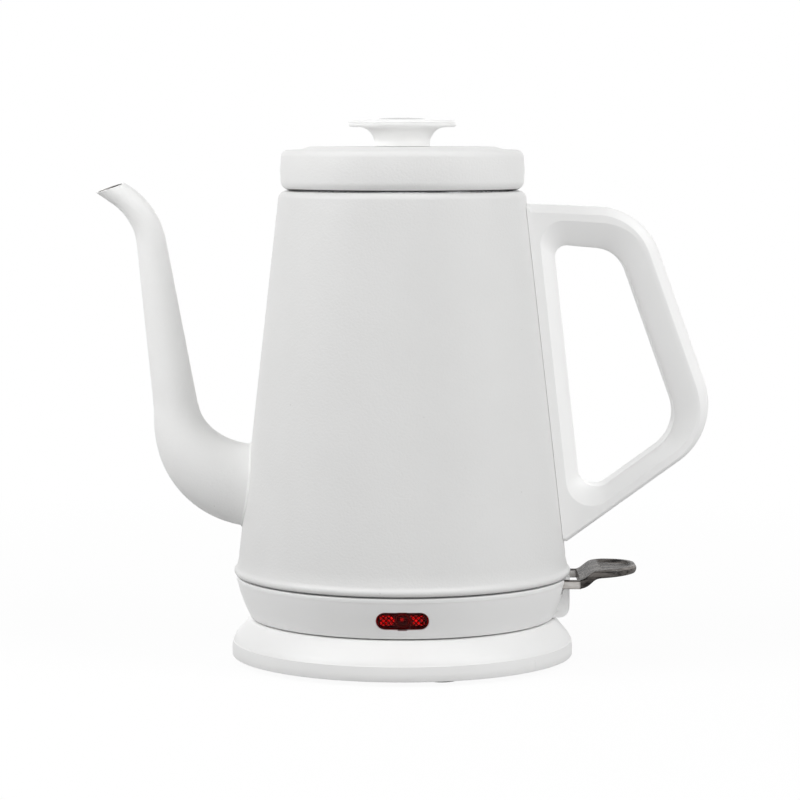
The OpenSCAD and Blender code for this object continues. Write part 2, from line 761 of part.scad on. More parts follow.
module bottom_cover() {
    color(white_plastic) difference() {
        union() {
            ring(cover_hole_r, cover_r, z_cover, z_cover + cover_t);
            ring(control_r + 0.4, control_r + 2, z_cover + 1, z_cover + 4);
            ring(cover_r - 4, cover_r - 2.6, z_cover + 1, z_cover + 4);
        }
        translate([-lamp_w / 2 - 2, -cover_r, z_cover + cover_t]) cube([lamp_w + 4, 10, 10]);
        at_studs() translate([0, 0, z_cover - eps]) screw_seat();
        translate([control_r - 2, -5, z_cover + cover_t]) cube([10, 10, 10]);
    }
}

module cover_studs() {
    stud_z = z_cover + cover_t + seat_gap;
    color(bare_steel) at_studs() translate([0, 0, stud_z]) difference() {
        cylinder(r = stud_r, h = z_floor_seat - stud_z, $fn = 6);
        translate([0, 0, -eps]) cylinder(r = screw_r + pin_gap, h = screw_hole_depth);
    }
}

module cover_screws() {
    color(bare_steel) at_studs() translate([0, 0, z_cover])
        tapping_screw(screw_head_r, screw_head_h, screw_r, screw_len);
}

rocker_x = control_r + 2.6;
rocker_z = lever_pin_z - 5;
rocker_pin_r = 1;
nose_x = lever_pin_x - 10;
nose_z = lever_pin_z - 1.2;

module control_body() {
    color(black_plastic) difference() {
        union() {
            rotate_extrude() polygon([
                [inlet_r + 0.4, control_z0], [control_r, control_z0], [control_r, control_z1 - 1],
                [control_r - 1, control_z1], [0, control_z1],
                [0, inlet_top + 0.4], [inlet_r + 0.4, inlet_top + 0.4]
            ]);
            for (s = [-1, 1]) translate([control_r - 1.5, s * 6.5 - 1.2, rocker_z - 2.4])
                cube([6.4, 2.4, 4.8]);
            for (a = [110, 230]) rotate(a) translate([control_r - 1, -4, control_z1 - 3])
                cube([element_ring_r - element_r - control_r + 0.4, 8, 3]);
        }
        translate([rocker_x, 0, rocker_z]) rod_y(rocker_pin_r + pin_gap / 2, -8, 8);
        at_dry_discs() translate([0, 0, control_z1 - disc_sink - seat_gap])
            cylinder(r = dry_disc_r + 0.4, h = 2);
    }
}

// Three discs on top sense a dry kettle; one disc on the side senses the steam
dry_disc_r = 6.8;
steam_disc_r = 5;
disc_sink = 0.5;
module at_dry_discs() {
    for (a = [60, 180, 300]) rotate(a) translate([12, 0, 0]) children();
}

module bimetal_discs() {
    color("#9a9da3") {
        at_dry_discs() translate([0, 0, control_z1 - disc_sink]) cylinder(r = dry_disc_r, h = 1.2, $fn = 48);
        rotate(steam_a + 45) translate([control_r + seat_gap, 0, control_z0 + 7]) rotate([0, 90, 0])
            cylinder(r = steam_disc_r, h = 0.8, $fn = 40);
    }
}

module steam_duct() {
    duct_r = steam_r + 1.2;
    top = z_floor_seat - diffuser_t - 0.2;
    low = z_floor_seat - 7.4;
    reach = steam_ring_r - control_r - 6.5;
    color("#b84a3a") at_steam_tube() difference() {
        union() {
            translate([0, 0, low]) cylinder(r = duct_r, h = top - low, $fn = 40);
            translate([0, 0, low]) sphere(r = duct_r, $fn = 40);
            translate([-reach, 0, low]) rotate([0, 90, 0]) cylinder(r = duct_r, h = reach, $fn = 40);
        }
        translate([0, 0, low]) cylinder(r = steam_r + pin_gap, h = 20, $fn = 40);
        translate([-reach - 1, 0, low]) rotate([0, 90, 0]) cylinder(r = duct_r - 1.2, h = reach + 1, $fn = 40);
    }
}

module lamp_lens() {
    lens_y1 = -collar_low_r + 3.2;
    color("#7a0a0c") translate([0, 0, lamp_z]) difference() {
        union() {
            intersection() {
                stadium_y(lamp_w, lamp_h, -collar_top_r - 2, lens_y1);
                translate([0, 0, -lamp_z]) collar_solid(0.15);
            }
            intersection() {
                stadium_y(lamp_w + 3, lamp_h + 3, -collar_top_r, lens_y1);
                translate([0, 0, -lamp_z]) collar_solid(collar_wall + seat_gap);
            }
        }
        stadium_y(lamp_w - 3, lamp_h - 2.4, -collar_low_r + 0.6, lens_y1 + 1);
    }
}

board_y = -collar_low_r + 6;
board_t = 1.4;
board_w = 18;
board_h = 9.2;

module lamp_board() {
    lamp_r = 1.9;
    lamp_len = 2.6;
    color("#3c6b3f") translate([-board_w / 2, board_y, lamp_z - board_h / 2]) cube([board_w, board_t, board_h]);
    color("#e6dccb") translate([0, board_y + eps, lamp_z]) rotate([90, 0, 0]) {
        cylinder(r = lamp_r, h = lamp_len, $fn = 32);
        translate([0, 0, lamp_len]) sphere(r = lamp_r, $fn = 32);
    }
    color(white_plastic) for (s = [-1, 1])
        translate([s * 7 - 1.2, board_y + board_t, lamp_z - 4]) cube([2.4, 2, 3]);
}

module lamp_leads() {
    lead_r = 0.8;
    color("#c43c2e") for (s = [-1, 1]) {
        start = [s * 4, board_y + board_t, lamp_z + 1];
        bend = [s * 4, -control_r - 6, lamp_z + 1];
        translate(start) rod_y(lead_r, 0, bend[1] - start[1]);
        translate(bend) sphere(r = lead_r, $fn = 24);
        translate(bend) rod_y(lead_r, 0, 5.8);
    }
}

// ---------------------------------------------------------------- handle

// Lines of the handle as [point, angle], seen from the front
x_knuckle = vessel_r + handle_out - knuckle_r;
knuckle = [x_knuckle, z_vessel + knuckle_h];
grip_dir = 90 + grip_lean;
top_in_fall = 5;
top_mid = [vessel_r + 8, z_top - top_drop];
spine_dir = 90 + wall_taper;
grip_out = knuckle + knuckle_r * [cos(grip_lean), sin(grip_lean)];
arm_out = knuckle + knuckle_r * [cos(arm_slope - 90), sin(arm_slope - 90)];
grip_in = grip_out - grip_t * [cos(grip_lean), sin(grip_lean)];
arm_in = arm_out - arm_t * [cos(arm_slope - 90), sin(arm_slope - 90)];
spine_in = [wall_r(z_cone) + spine_t / cos(wall_taper), z_cone];
spine_hid = [wall_r(z_cone) - 3, z_cone];

outer_corners = [
    meet(top_mid, -top_fall, spine_hid, spine_dir),
    meet(top_mid, -top_fall, grip_out, grip_dir),
    meet(grip_out, grip_dir, arm_out, arm_slope),
    meet(arm_out, arm_slope, spine_hid, spine_dir)
];
inner_corners = [
    meet(top_mid - [0, top_arm_t], -top_in_fall, spine_in, spine_dir),
    meet(top_mid - [0, top_arm_t], -top_in_fall, grip_in, grip_dir),
    meet(grip_in, grip_dir, arm_in, arm_slope),
    meet(arm_in, arm_slope, spine_in, spine_dir)
];
outer_radii = [1, 27, knuckle_r, 1];
inner_radii = [4.5, 15, 17, 7.5];
bend_steps = 10;

// The rounded corner i of a closed outline of corners, as points
function corner_points(c, radii, i) = let (
    p = c[i], a = c[(i + len(c) - 1) % len(c)], b = c[(i + 1) % len(c)],
    u = (a - p) / norm(a - p), v = (b - p) / norm(b - p),
    half = acos(u * v) / 2, r = radii[i],
    m = (u + v) / norm(u + v), o = p + m * r / sin(half), turn = 90 - half
) [for (k = [0:bend_steps]) let (t = -turn + 2 * turn * k / bend_steps, w = [-m[1], m[0]])
    o + r * (-m * cos(t) + w * sin(t) * (w * v > 0 ? 1 : -1))];

function outline(c, radii) = [for (i = [0:3]) each corner_points(c, radii, i)];

// Depths of the two rounded edges as shares of those on the grip: at the spine, top arm, grip and lower arm
palm_share = [0.4, 1, 1, 0.8];
finger_share = [0.62, 1.25, 1, 0.75];

// A share at point i of the outline, passing over from one stretch to the next round its corner
function share_at(shares, i) = let (c = floor(i / (bend_steps + 1)), u = (i % (bend_steps + 1)) / bend_steps)
    shares[c] * (1 - u) + shares[(c + 1) % 4] * u;

// Half of a section as [share, Y]: share 0 lies on the outer outline and 1 on the inner one. The band beside
// the palm ends in a crisp line, and the rounding beside the fingers flows out of the flat side
function section(t, palm_d, finger_d) = let (
    w = handle_w / 2, p = min(palm_d, t * 0.42), f = min(finger_d, t - p - 0.3)
) concat(
    [for (k = [0:5]) let (u = k / 5) [p / t * u * u, w - palm_edge_w * (1 - u)]],
    [for (k = [0:6]) let (a = 15 * k) [1 - f / t * (1 - sin(a)), w - finger_edge_w * (1 - cos(a))]]
);
function whole_section(t, palm_d, finger_d) = let (half = section(t, palm_d, finger_d))
    concat(half, [for (q = flip(half)) [q[0], -q[1]]]);

module handle_solid() {
    outer_pts = outline(outer_corners, outer_radii);
    inner_pts = outline(inner_corners, inner_radii);
    n = len(outer_pts);
    m = len(whole_section(grip_t, palm_edge_d, finger_edge_d));
    pts = [for (i = [0:n - 1]) let (
            across = inner_pts[i] - outer_pts[i],
            palm_d = palm_edge_d * share_at(palm_share, i),
            finger_d = finger_edge_d * share_at(finger_share, i)
        ) for (q = whole_section(norm(across), palm_d, finger_d)) let (p = outer_pts[i] + across * q[0])
            [p[0], q[1], p[1]]];
    polyhedron(
        points = pts,
        faces = [for (i = [0:n - 1], k = [0:m - 1]) let (i2 = (i + 1) % n, k2 = (k + 1) % m)
            [i * m + k, i2 * m + k, i2 * m + k2, i * m + k2]],
        convexity = 8
    );
}

screw_in_low = 23.5;
screw_in_top = 19.4;
screw_zs = [inner_corners[3][1] + screw_in_low, inner_corners[0][1] - screw_in_top];

// Places what fixes the handle square to the wall at its two heights
module at_handle_screws() {
    for (z = screw_zs) translate([wall_r(z), 0, z]) rotate([0, -wall_taper, 0]) children();
}

bracket_t = 1.2;
bracket_boss_r = 4;
bracket_boss_h = 4.4;
screw_shank_r = 1.95;
cap_r = 4.2;

module handle() {
    color(white_plastic) difference() {
        handle_solid();
        wall_solid(wall_gap);
        at_handle_screws() {
            translate([-4, -7.5, -10]) cube([4 + bracket_t + 0.3, 15, 20]);
            rotate([0, 90, 0]) cylinder(r = bracket_boss_r + 0.25, h = bracket_boss_h + 0.3, $fn = 48);
            rotate([0, 90, 0]) cylinder(r = screw_shank_r + 0.25, h = 20, $fn = 48);
            translate([bracket_boss_h + 1.4, 0, 0]) rotate([0, 90, 0])
                cylinder(r = cap_r + pin_gap, h = 20, $fn = 48);
        }
    }
}

module handle_brackets() {
    color(bare_steel) difference() {
        at_handle_screws() {
            translate([-3, -7.2, -9.7]) cube([3 + bracket_t, 14.4, 19.4]);
            translate([-3, 0, 0]) rotate([0, 90, 0])
                cylinder(r = bracket_boss_r, h = bracket_boss_h + 3, $fn = 48);
        }
        wall_solid(pin_gap);
        at_handle_screws() rotate([0, 90, 0]) cylinder(r = screw_shank_r + pin_gap, h = 20, $fn = 48);
    }
}

module handle_screws() {
    color(bare_steel) at_handle_screws() translate([bracket_boss_h + 3.3, 0, 0]) rotate([0, -90, 0])
        tapping_screw(3.6, 1.8, screw_shank_r, 4.6);
}

module screw_caps() {
    color(white_plastic) intersection() {
        at_handle_screws() translate([bracket_boss_h + 3.4, 0, 0]) rotate([0, 90, 0])
            cylinder(r = cap_r, h = 6, $fn = 48);
        wall_solid(spine_t - 0.15);
    }
}

// ---------------------------------------------------------------- lever and rocker

tip_x = collar_top_r + lever_out;
neck_x = collar_top_r + 5.2;
neck_run = 5.6;
arm_z0 = lever_z - lever_arm_h / 2;
arm_z1 = lever_z + lever_arm_h / 2;
paddle_z1 = arm_z1 + paddle_rise;
paddle_z0 = paddle_z1 - paddle_t;
tongue_x = tip_x - 12.5;

// Outline of the tongue in plan, moved in by a depth
function tongue(depth) = let (w = lever_w / 2 - depth, l = tip_x - tongue_x - depth) concat(
    [for (k = [0:16]) let (a = -90 + 180 * k / 16) [tongue_x + l * cos(a), w * sin(a)]]
);

module lever_profile() {
    polygon([
        [lever_pin_x - 1, arm_z0], [neck_x - 0.8, arm_z0], [neck_x + 1.2, arm_z0 + 0.9],
        [neck_x + neck_run - 0.6, paddle_z0 - 0.6], [neck_x + neck_run + 1.4, paddle_z0],
        [tip_x - 1, paddle_z0 + 0.2], [tip_x - 0.2, paddle_z0 + 1], [tip_x, (paddle_z0 + paddle_z1) / 2],
        [tip_x - 0.3, paddle_z1 - 0.7], [tip_x - 1, paddle_z1],
        [neck_x + neck_run, paddle_z1], [neck_x + neck_run - 1.6, paddle_z1 - 0.7],
        [neck_x + 0.4, arm_z1 + 0.5], [neck_x - 1.2, arm_z1], [lever_pin_x - 1, arm_z1]
    ]);
}

module switch_lever() {
    arm_y = (lever_w - lever_arm_w) / 2;
    color(smoked_plastic) difference() {
        union() {
            intersection() {
                across_y(lever_w) lever_profile();
                translate([0, 0, arm_z0 - 1]) linear_extrude(height = 20) union() {
                    polygon(concat([[neck_x, -lever_w / 2]], tongue(0), [[neck_x, lever_w / 2]]));
                    for (s = [-1, 1]) translate([lever_pin_x - 1, s * arm_y - lever_arm_w / 2])
                        square([neck_x - lever_pin_x + 2, lever_arm_w]);
                }
            }
            for (s = [-1, 1]) translate([lever_pin_x, 0, lever_pin_z]) rod_y(
                lever_pin_r + 1.5, s * arm_y - lever_arm_w / 2, s * arm_y + lever_arm_w / 2);
            translate([lever_pin_x - 6.4, -lever_w / 2, lever_pin_z - 2.2]) cube([2.2, lever_w, 3.2]);
            for (s = [-1, 1]) translate([lever_pin_x - 6.4, s * arm_y - lever_arm_w / 2, lever_pin_z - 2.2])
                cube([5.4, lever_arm_w, 3.2]);
            translate([nose_x, -2.5, nose_z - 1.6]) cube([lever_pin_x - 5 - nose_x, 5, 1.6]);
        }
        translate([0, 0, paddle_z1 - dish_d]) linear_extrude(height = 5)
            polygon(concat([[neck_x + neck_run + 1.6, -lever_w / 2 + 2.2]], tongue(2.2),
                [[neck_x + neck_run + 1.6, lever_w / 2 - 2.2]]));
        translate([lever_pin_x, 0, lever_pin_z]) rod_y(lever_pin_r + pin_gap, -lever_w, lever_w);
    }
}

module lever_pin() {
    reach = lever_w / 2 + running_gap;
    color(bare_steel) translate([lever_pin_x, 0, lever_pin_z]) rod_y(lever_pin_r, -reach, reach);
}

module rocker() {
    arm_y = 2.5;
    color("#d9d2c0") difference() {
        union() {
            translate([rocker_x, 0, rocker_z]) rod_y(2.2, -4.6, 4.6);
            across_y(2 * arm_y) polygon([
                [rocker_x, rocker_z - 1.4], [rocker_x + 4, rocker_z - 1.2], [nose_x - 2, nose_z + running_gap],
                [nose_x + 3, nose_z + running_gap], [nose_x + 3, nose_z + 1.9], [nose_x - 3, nose_z + 1.9],
                [rocker_x + 2, rocker_z + 1.9], [rocker_x, rocker_z + 2]
            ]);
        }
        translate([rocker_x, 0, rocker_z]) rod_y(rocker_pin_r + pin_gap, -10, 10);
    }
}

module rocker_pin() {
    color(bare_steel) translate([rocker_x, 0, rocker_z]) rod_y(rocker_pin_r, -7.7, 7.7);
}

module rocker_spring() {
    coil_r = 1.9;
    strip_w = 4;
    color(bare_steel) translate([rocker_x + 6, strip_w / 2, rocker_z - 1.9 - coil_r]) rotate([90, 0, 0])
        rotate(20) rotate_extrude(angle = 250, $fn = 48) translate([coil_r, 0]) square([0.35, strip_w]);
}

// ---------------------------------------------------------------- lid

lid_r = wall_r(z_top) - lid_in;
lid_low_roll = 3.9;
lid_top_roll = 3;
lid_t = 0.7;

// The outside of the lid moved in by a depth, from its lower edge to the middle
function lid_skin(depth) = let (z_step = z_lid_top + lid_step_h, r = lid_r - lid_ring_w) concat(
    arc([lid_r - 0.2 - lid_low_roll, z_lid + lid_low_roll], lid_low_roll - depth, -90, 0, 8),
    [[lid_r - depth, z_lid + lid_h / 2]],
    arc([lid_r - 0.4 - lid_top_roll, z_lid_top - lid_top_roll], lid_top_roll - depth, 5, 90, 8),
    [[r + 2.6, z_lid_top - depth], [r + 1, z_lid_top + lid_step_h * 0.3 - depth],
     [r - 1, z_lid_top + lid_step_h * 0.8 - depth], [r - 3, z_step - depth], [0, z_step - depth]]
);

hem_in_r = lid_r - 5.6;
plug_r = mouth_r - 0.6;
pan_t = 0.6;

module lid_shell() {
    color(white_paint) difference() {
        rotate_extrude($fn = 128) polygon(concat(
            [[hem_in_r, z_lid]], lid_skin(0), flip(lid_skin(lid_t)), [[hem_in_r, z_lid + lid_t]]
        ));
        translate([0, 0, z_lid_top - 5]) cylinder(r = 2.3, h = 12, $fn = 40);
    }
}

module lid_pan() {
    pan_z = z_lid + lid_t + pin_gap;
    plug_z = z_top - plug_h;
    color(bare_steel) rotate_extrude() polygon([
        [0, plug_z], [plug_r - 2, plug_z], [plug_r, plug_z + 2], [plug_r, pan_z],
        [lid_r - 5.2, pan_z], [lid_r - 5.2, pan_z + pan_t], [plug_r - pan_t, pan_z + pan_t],
        [plug_r - pan_t, plug_z + 2.2], [plug_r - 2.2, plug_z + pan_t], [0, plug_z + pan_t]
    ]);
}

knob_neck_r = knob_neck_d / 2;
knob_r = knob_d / 2;
z_disc = z_knob + knob_h - 3;
z_parting = z_disc + 1.6;
flare_r = z_disc - z_knob - 1.3;
well_r = 9.4;
insert_r = 4;
knob_bore_r = insert_r + seat_gap;

module knob() {
    color("#f6f6f6") rotate_extrude() polygon(concat(
        [[knob_bore_r, z_knob], [knob_neck_r, z_knob]],
        arc([knob_neck_r + flare_r, z_disc - flare_r], flare_r, 180, 90, 8),
        [[knob_r - 1, z_disc + 0.2], [knob_r - 0.2, z_disc + 0.6], [knob_r, z_disc + 1.2], [knob_r, z_parting]],
        [[well_r, z_parting], [well_r, z_parting - 2], [knob_bore_r, z_parting - 2]]
    ));
}

module knob_cap() {
    color("#f6f6f6") rotate_extrude() polygon(concat(
        [[0, z_parting - 1.2], [well_r - seat_gap, z_parting - 1.2]],
        [[well_r - seat_gap, z_parting + pin_gap], [knob_r, z_parting + pin_gap]],
        arc([knob_r - 1, z_parting + 0.3], 1, 0, 90, 4),
        [[11, z_parting + 1.3]], arc([10, z_parting + 1.4], 0.6, 0, 90, 3), [[0, z_parting + 2.2]]
    ));
}

module knob_insert() {
    color(brass) difference() {
        ring(2 + pin_gap, insert_r, z_knob + 0.8, z_parting - 2.2);
        for (z = [z_knob + 2.4, z_knob + 4.2]) ring(3.6, 5, z, z + 0.7);
    }
}

module knob_screw() {
    z_head = z_lid_top + lid_step_h - lid_t - 0.8 - 2.4;
    color(bare_steel) translate([0, 0, z_head]) tapping_screw(3.8, 2.3, 2, 9.2);
}

module knob_washer() {
    z_under = z_lid_top + lid_step_h - lid_t;
    color(bare_steel) ring(2.2, 5, z_under - 0.85, z_under - 0.05);
}

base_shell();
base_floor();
base_feet();
base_screws();
base_connector();
base_contacts();
lead_clamp();
inlet_body();
inlet_contacts();
kettle_body();
spout();
heater_plate();
diffuser_plate();
heating_element();
floor_seal();
collar();
bottom_cover();
cover_studs();
cover_screws();
control_body();
bimetal_discs();
steam_tube();
steam_duct();
lamp_lens();
lamp_board();
lamp_leads();
handle();
handle_brackets();
handle_screws();
screw_caps();
switch_lever();
lever_pin();
rocker();
rocker_pin();
rocker_spring();
lid_shell();
lid_pan();
knob();
knob_cap();
knob_insert();
knob_screw();
knob_washer();
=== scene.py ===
import math

import bmesh
import bpy
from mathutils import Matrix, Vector


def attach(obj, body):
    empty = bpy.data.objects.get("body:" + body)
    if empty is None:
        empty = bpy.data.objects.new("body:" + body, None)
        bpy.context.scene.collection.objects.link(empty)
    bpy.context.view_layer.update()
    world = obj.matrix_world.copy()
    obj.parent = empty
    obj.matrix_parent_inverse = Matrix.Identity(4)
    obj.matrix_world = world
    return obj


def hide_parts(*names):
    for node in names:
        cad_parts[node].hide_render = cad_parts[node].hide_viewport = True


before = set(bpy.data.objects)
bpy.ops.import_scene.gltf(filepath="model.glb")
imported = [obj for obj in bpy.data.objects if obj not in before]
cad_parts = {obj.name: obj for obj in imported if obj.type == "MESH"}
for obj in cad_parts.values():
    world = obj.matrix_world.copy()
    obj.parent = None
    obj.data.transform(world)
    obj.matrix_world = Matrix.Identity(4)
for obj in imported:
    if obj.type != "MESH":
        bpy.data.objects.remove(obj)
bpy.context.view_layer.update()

# ---- Camera ----
# A long lens at a little over a metre, tipped down about five degrees, with the kettle's spout to the
# left and its handle to the right.
view_distance = 1.230
view_tip = math.radians(5.13)
view_target = Vector((-0.00094, 0.0, 0.1062))

camera_data = bpy.data.cameras.new("product_camera")
camera_data.lens = 135
camera_data.sensor_width = 36
camera_data.clip_start = 0.01
camera_data.clip_end = 60
camera = bpy.data.objects.new("product_camera", camera_data)
camera.location = view_target + view_distance * Vector((0, -math.cos(view_tip), math.sin(view_tip)))
camera.rotation_euler = (math.pi / 2 - view_tip, 0, 0)
bpy.context.scene.collection.objects.link(camera)
bpy.context.scene.camera = camera
bpy.context.scene.view_settings.view_transform = "Standard"


# ---- Studio ----
# A white worktop that runs on into a white room, with soft lights in front, behind, beside and above to
# both sides. Seen directly, the worktop is almost pure white, but it keeps the kettle's soft shadow.
class Value:
    """An output socket of a finish. Arithmetic on it adds Math nodes to the same finish."""

    def __init__(self, finish, socket):
        self.finish, self.socket = finish, socket

    def _math(self, operation, first, second):
        return self.finish.add("ShaderNodeMath", {"operation": operation}, [first, second])

    def __add__(self, other):
        return self._math("ADD", self, other)

    def __radd__(self, other):
        return self._math("ADD", other, self)

    def __sub__(self, other):
        return self._math("SUBTRACT", self, other)

    def __rsub__(self, other):
        return self._math("SUBTRACT", other, self)

    def __mul__(self, other):
        return self._math("MULTIPLY", self, other)

    def __rmul__(self, other):
        return self._math("MULTIPLY", other, self)

    def __truediv__(self, other):
        return self._math("DIVIDE", self, other)

    def __pow__(self, other):
        return self._math("POWER", self, other)

    def __gt__(self, other):
        return self._math("GREATER_THAN", self, other)

    def __lt__(self, other):
        return self._math("LESS_THAN", self, other)

    def wave(self):
        """Runs from 0 up to 1 and back in each unit."""
        return self._math("PINGPONG", self, 0.5) * 2

    def size(self):
        return self._math("ABSOLUTE", self, 0)

    def lowest(self, other):
        return self._math("MINIMUM", self, other)

    def highest(self, other):
        return self._math("MAXIMUM", self, other)


class Finish:
    """A material that is built node by node."""

    def __init__(self, name):
        self.material = bpy.data.materials.new(name)
        self.material.use_nodes = True
        self.tree = self.material.node_tree
        self.tree.nodes.clear()

    def add(self, kind, settings=None, inputs=(), out=0, **named):
        """Adds a node: its settings first, then its sockets by order or by name. Returns one output."""
        node = self.tree.nodes.new(kind)
        for key, setting in (settings or {}).items():
            if key == "stops":
                for i, (at, colour) in enumerate(setting):
                    stop = node.color_ramp.elements[i] if i < 2 else node.color_ramp.elements.new(at)
                    stop.position = at
                    stop.color = (*colour, 1)
            else:
                setattr(node, key, setting)
        values = list(enumerate(inputs)) + [(key.replace("_", " "), v) for key, v in named.items()]
        for key, value in values:
            if isinstance(value, Value):
                self.tree.links.new(value.socket, node.inputs[key])
            elif value is not None:
                node.inputs[key].default_value = value
        return Value(self, node.outputs[out]) if len(node.outputs) else None

    def place(self):
        return self.add("ShaderNodeTexCoord", out="Object")

    def axes(self, place):
        """The three coordinates of a place."""
        split = self.add("ShaderNodeSeparateXYZ", None, [place]).socket.node
        return [Value(self, split.outputs[i]) for i in range(3)]

    def noise(self, scale, detail=2.0, roughness=0.5, place=None):
        return self.add("ShaderNodeTexNoise", {"noise_dimensions": "3D"}, Vector=place or self.place(),
                        Scale=scale, Detail=detail, Roughness=roughness)

    def blend(self, amount, first, second):
        """A colour between two that are sockets or have an alpha."""
        inputs = [amount, None, None, None, None, None, first, second]
        return self.add("ShaderNodeMix", {"data_type": "RGBA"}, inputs, out=2)

    def tint(self, amount, low, high):
        """A colour between low and high."""
        return self.blend(amount, (*low, 1), (*high, 1))

    def bump(self, height, distance, strength=1.0, base=None):
        return self.add(
            "ShaderNodeBump", None, Height=height, Distance=distance, Strength=strength, Normal=base)

    def surface(self, base_color, roughness, **named):
        colour = base_color if isinstance(base_color, Value) else (*base_color, 1)
        self.end(self.add("ShaderNodeBsdfPrincipled", None, Base_Color=colour, Roughness=roughness, **named))
        return self.material

    def end(self, shader):
        self.add("ShaderNodeOutputMaterial", None, [shader])
        return self.material


def seen_white(name, bounce, lit, share):
    """A matt white that the camera, mirrors and clear plastic see drawn towards pure white."""
    finish = Finish(name)
    rays = [finish.add("ShaderNodeLightPath", out=ray)
            for ray in ("Is Camera Ray", "Is Glossy Ray", "Is Transmission Ray")]
    seen = rays[0].highest(rays[1]).highest(rays[2])
    matt = finish.add("ShaderNodeBsdfDiffuse", None, Color=finish.tint(seen, bounce, lit))
    white = finish.add("ShaderNodeEmission", None, Color=(1, 1, 1, 1), Strength=1.0)
    x, y, z = finish.axes(finish.place())
    far = (((x * x + y * y) ** 0.5 - 0.18) * 2.5).highest(0).lowest(1)
    whiteness = seen * (far * (1 - share) + share)
    return finish.end(finish.add("ShaderNodeMixShader", None, [whiteness, matt, white]))


mm = 0.001


def mesh_piece(name, points, faces, finish, crease=32):
    """A mesh object from points in millimetres, smooth but for edges that turn by more than the crease."""
    mesh = bpy.data.meshes.new(name)
    mesh.from_pydata([(x * mm, y * mm, z * mm) for x, y, z in points], [], faces)
    tidied = bmesh.new()
    tidied.from_mesh(mesh)
    bmesh.ops.remove_doubles(tidied, verts=tidied.verts, dist=0.002 * mm)
    bmesh.ops.recalc_face_normals(tidied, faces=tidied.faces)
    tidied.to_mesh(mesh)
    tidied.free()
    mesh.materials.append(finish)
    soften(mesh, crease)
    piece = bpy.data.objects.new(name, mesh)
    bpy.context.scene.collection.objects.link(piece)
    return piece


def soften(mesh, crease):
    mesh.polygons.foreach_set("use_smooth", [True] * len(mesh.polygons))
    mesh.set_sharp_from_angle(angle=math.radians(crease))


room_reach = 9000
worktop = mesh_piece(
    "worktop",
    [(x * room_reach, y * room_reach, 0) for x, y in ((-1, -1), (1, -1), (1, 1), (-1, 1))],
    [(0, 1, 2, 3)],
    seen_white("white_worktop", (0.34, 0.34, 0.34), (1.0, 1.0, 1.0), 0.94),
)

world = bpy.data.worlds.new("white_room")
bpy.context.scene.world = world
world.use_nodes = True
sky = world.node_tree
sky.nodes.clear()
room_level = 0.36
ray = sky.nodes.new("ShaderNodeLightPath")
room = sky.nodes.new("ShaderNodeBackground")
room.inputs["Strength"].default_value = room_level
backdrop = sky.nodes.new("ShaderNodeBackground")
backdrop.inputs["Strength"].default_value = 1.0
for background in (room, backdrop):
    background.inputs["Color"].default_value = (1, 1, 1, 1)
seen_ray = sky.nodes.new("ShaderNodeMath")
seen_ray.operation = "MAXIMUM"
sky.links.new(ray.outputs["Is Camera Ray"], seen_ray.inputs[0])
sky.links.new(ray.outputs["Is Transmission Ray"], seen_ray.inputs[1])
clear_ray = sky.nodes.new("ShaderNodeMath")
clear_ray.operation = "MAXIMUM"
sky.links.new(seen_ray.outputs[0], clear_ray.inputs[0])
sky.links.new(ray.outputs["Is Glossy Ray"], clear_ray.inputs[1])
pick = sky.nodes.new("ShaderNodeMixShader")
sky.links.new(clear_ray.outputs[0], pick.inputs[0])
sky.links.new(room.outputs[0], pick.inputs[1])
sky.links.new(backdrop.outputs[0], pick.inputs[2])
sky_end = sky.nodes.new("ShaderNodeOutputWorld")
sky.links.new(pick.outputs[0], sky_end.inputs[0])


def soft_light(name, at, aim, width, height, power):
    lamp = bpy.data.lights.new(name, "AREA")
    lamp.shape = "RECTANGLE"
    lamp.size, lamp.size_y = width, height
    lamp.energy = power
    holder = bpy.data.objects.new(name, lamp)
    holder.location = at
    holder.rotation_euler = (Vector(aim) - Vector(at)).to_track_quat("-Z", "Y").to_euler()
    bpy.context.scene.collection.objects.link(holder)


kettle_middle = (0, 0, 0.11)
soft_light("high_right_softbox", (0.9, -0.5, 0.92), kettle_middle, 0.7, 0.7, 5.2)
soft_light("high_left_softbox", (-0.9, -0.5, 0.92), kettle_middle, 0.7, 0.7, 1.8)
soft_light("right_softbox", (1.15, -0.66, 0.42), kettle_middle, 0.5, 1.0, 4.2)
soft_light("near_softbox", (-0.62, -0.24, 0.48), kettle_middle, 0.35, 0.35, 2.4)
soft_light("front_softbox", (0, -1.7, 0.40), kettle_middle, 1.6, 0.7, 4.1)
soft_light("back_softbox", (0, 1.7, 0.42), kettle_middle, 1.6, 0.7, 2.6)


# ---- Power base, upper moulding ----
# A round satin white moulding with a rolled rim, a sloped side and a flat deck. It carries the
# connector, and stands on a floor moulding that is held by four screws in its bosses.
def arc(cx, cz, r, start, end, steps):
    """Points of an arc about (cx, cz), with its angles in degrees."""
    angles = [math.radians(start + (end - start) * i / steps) for i in range(steps + 1)]
    return [(cx + r * math.cos(a), cz + r * math.sin(a)) for a in angles]


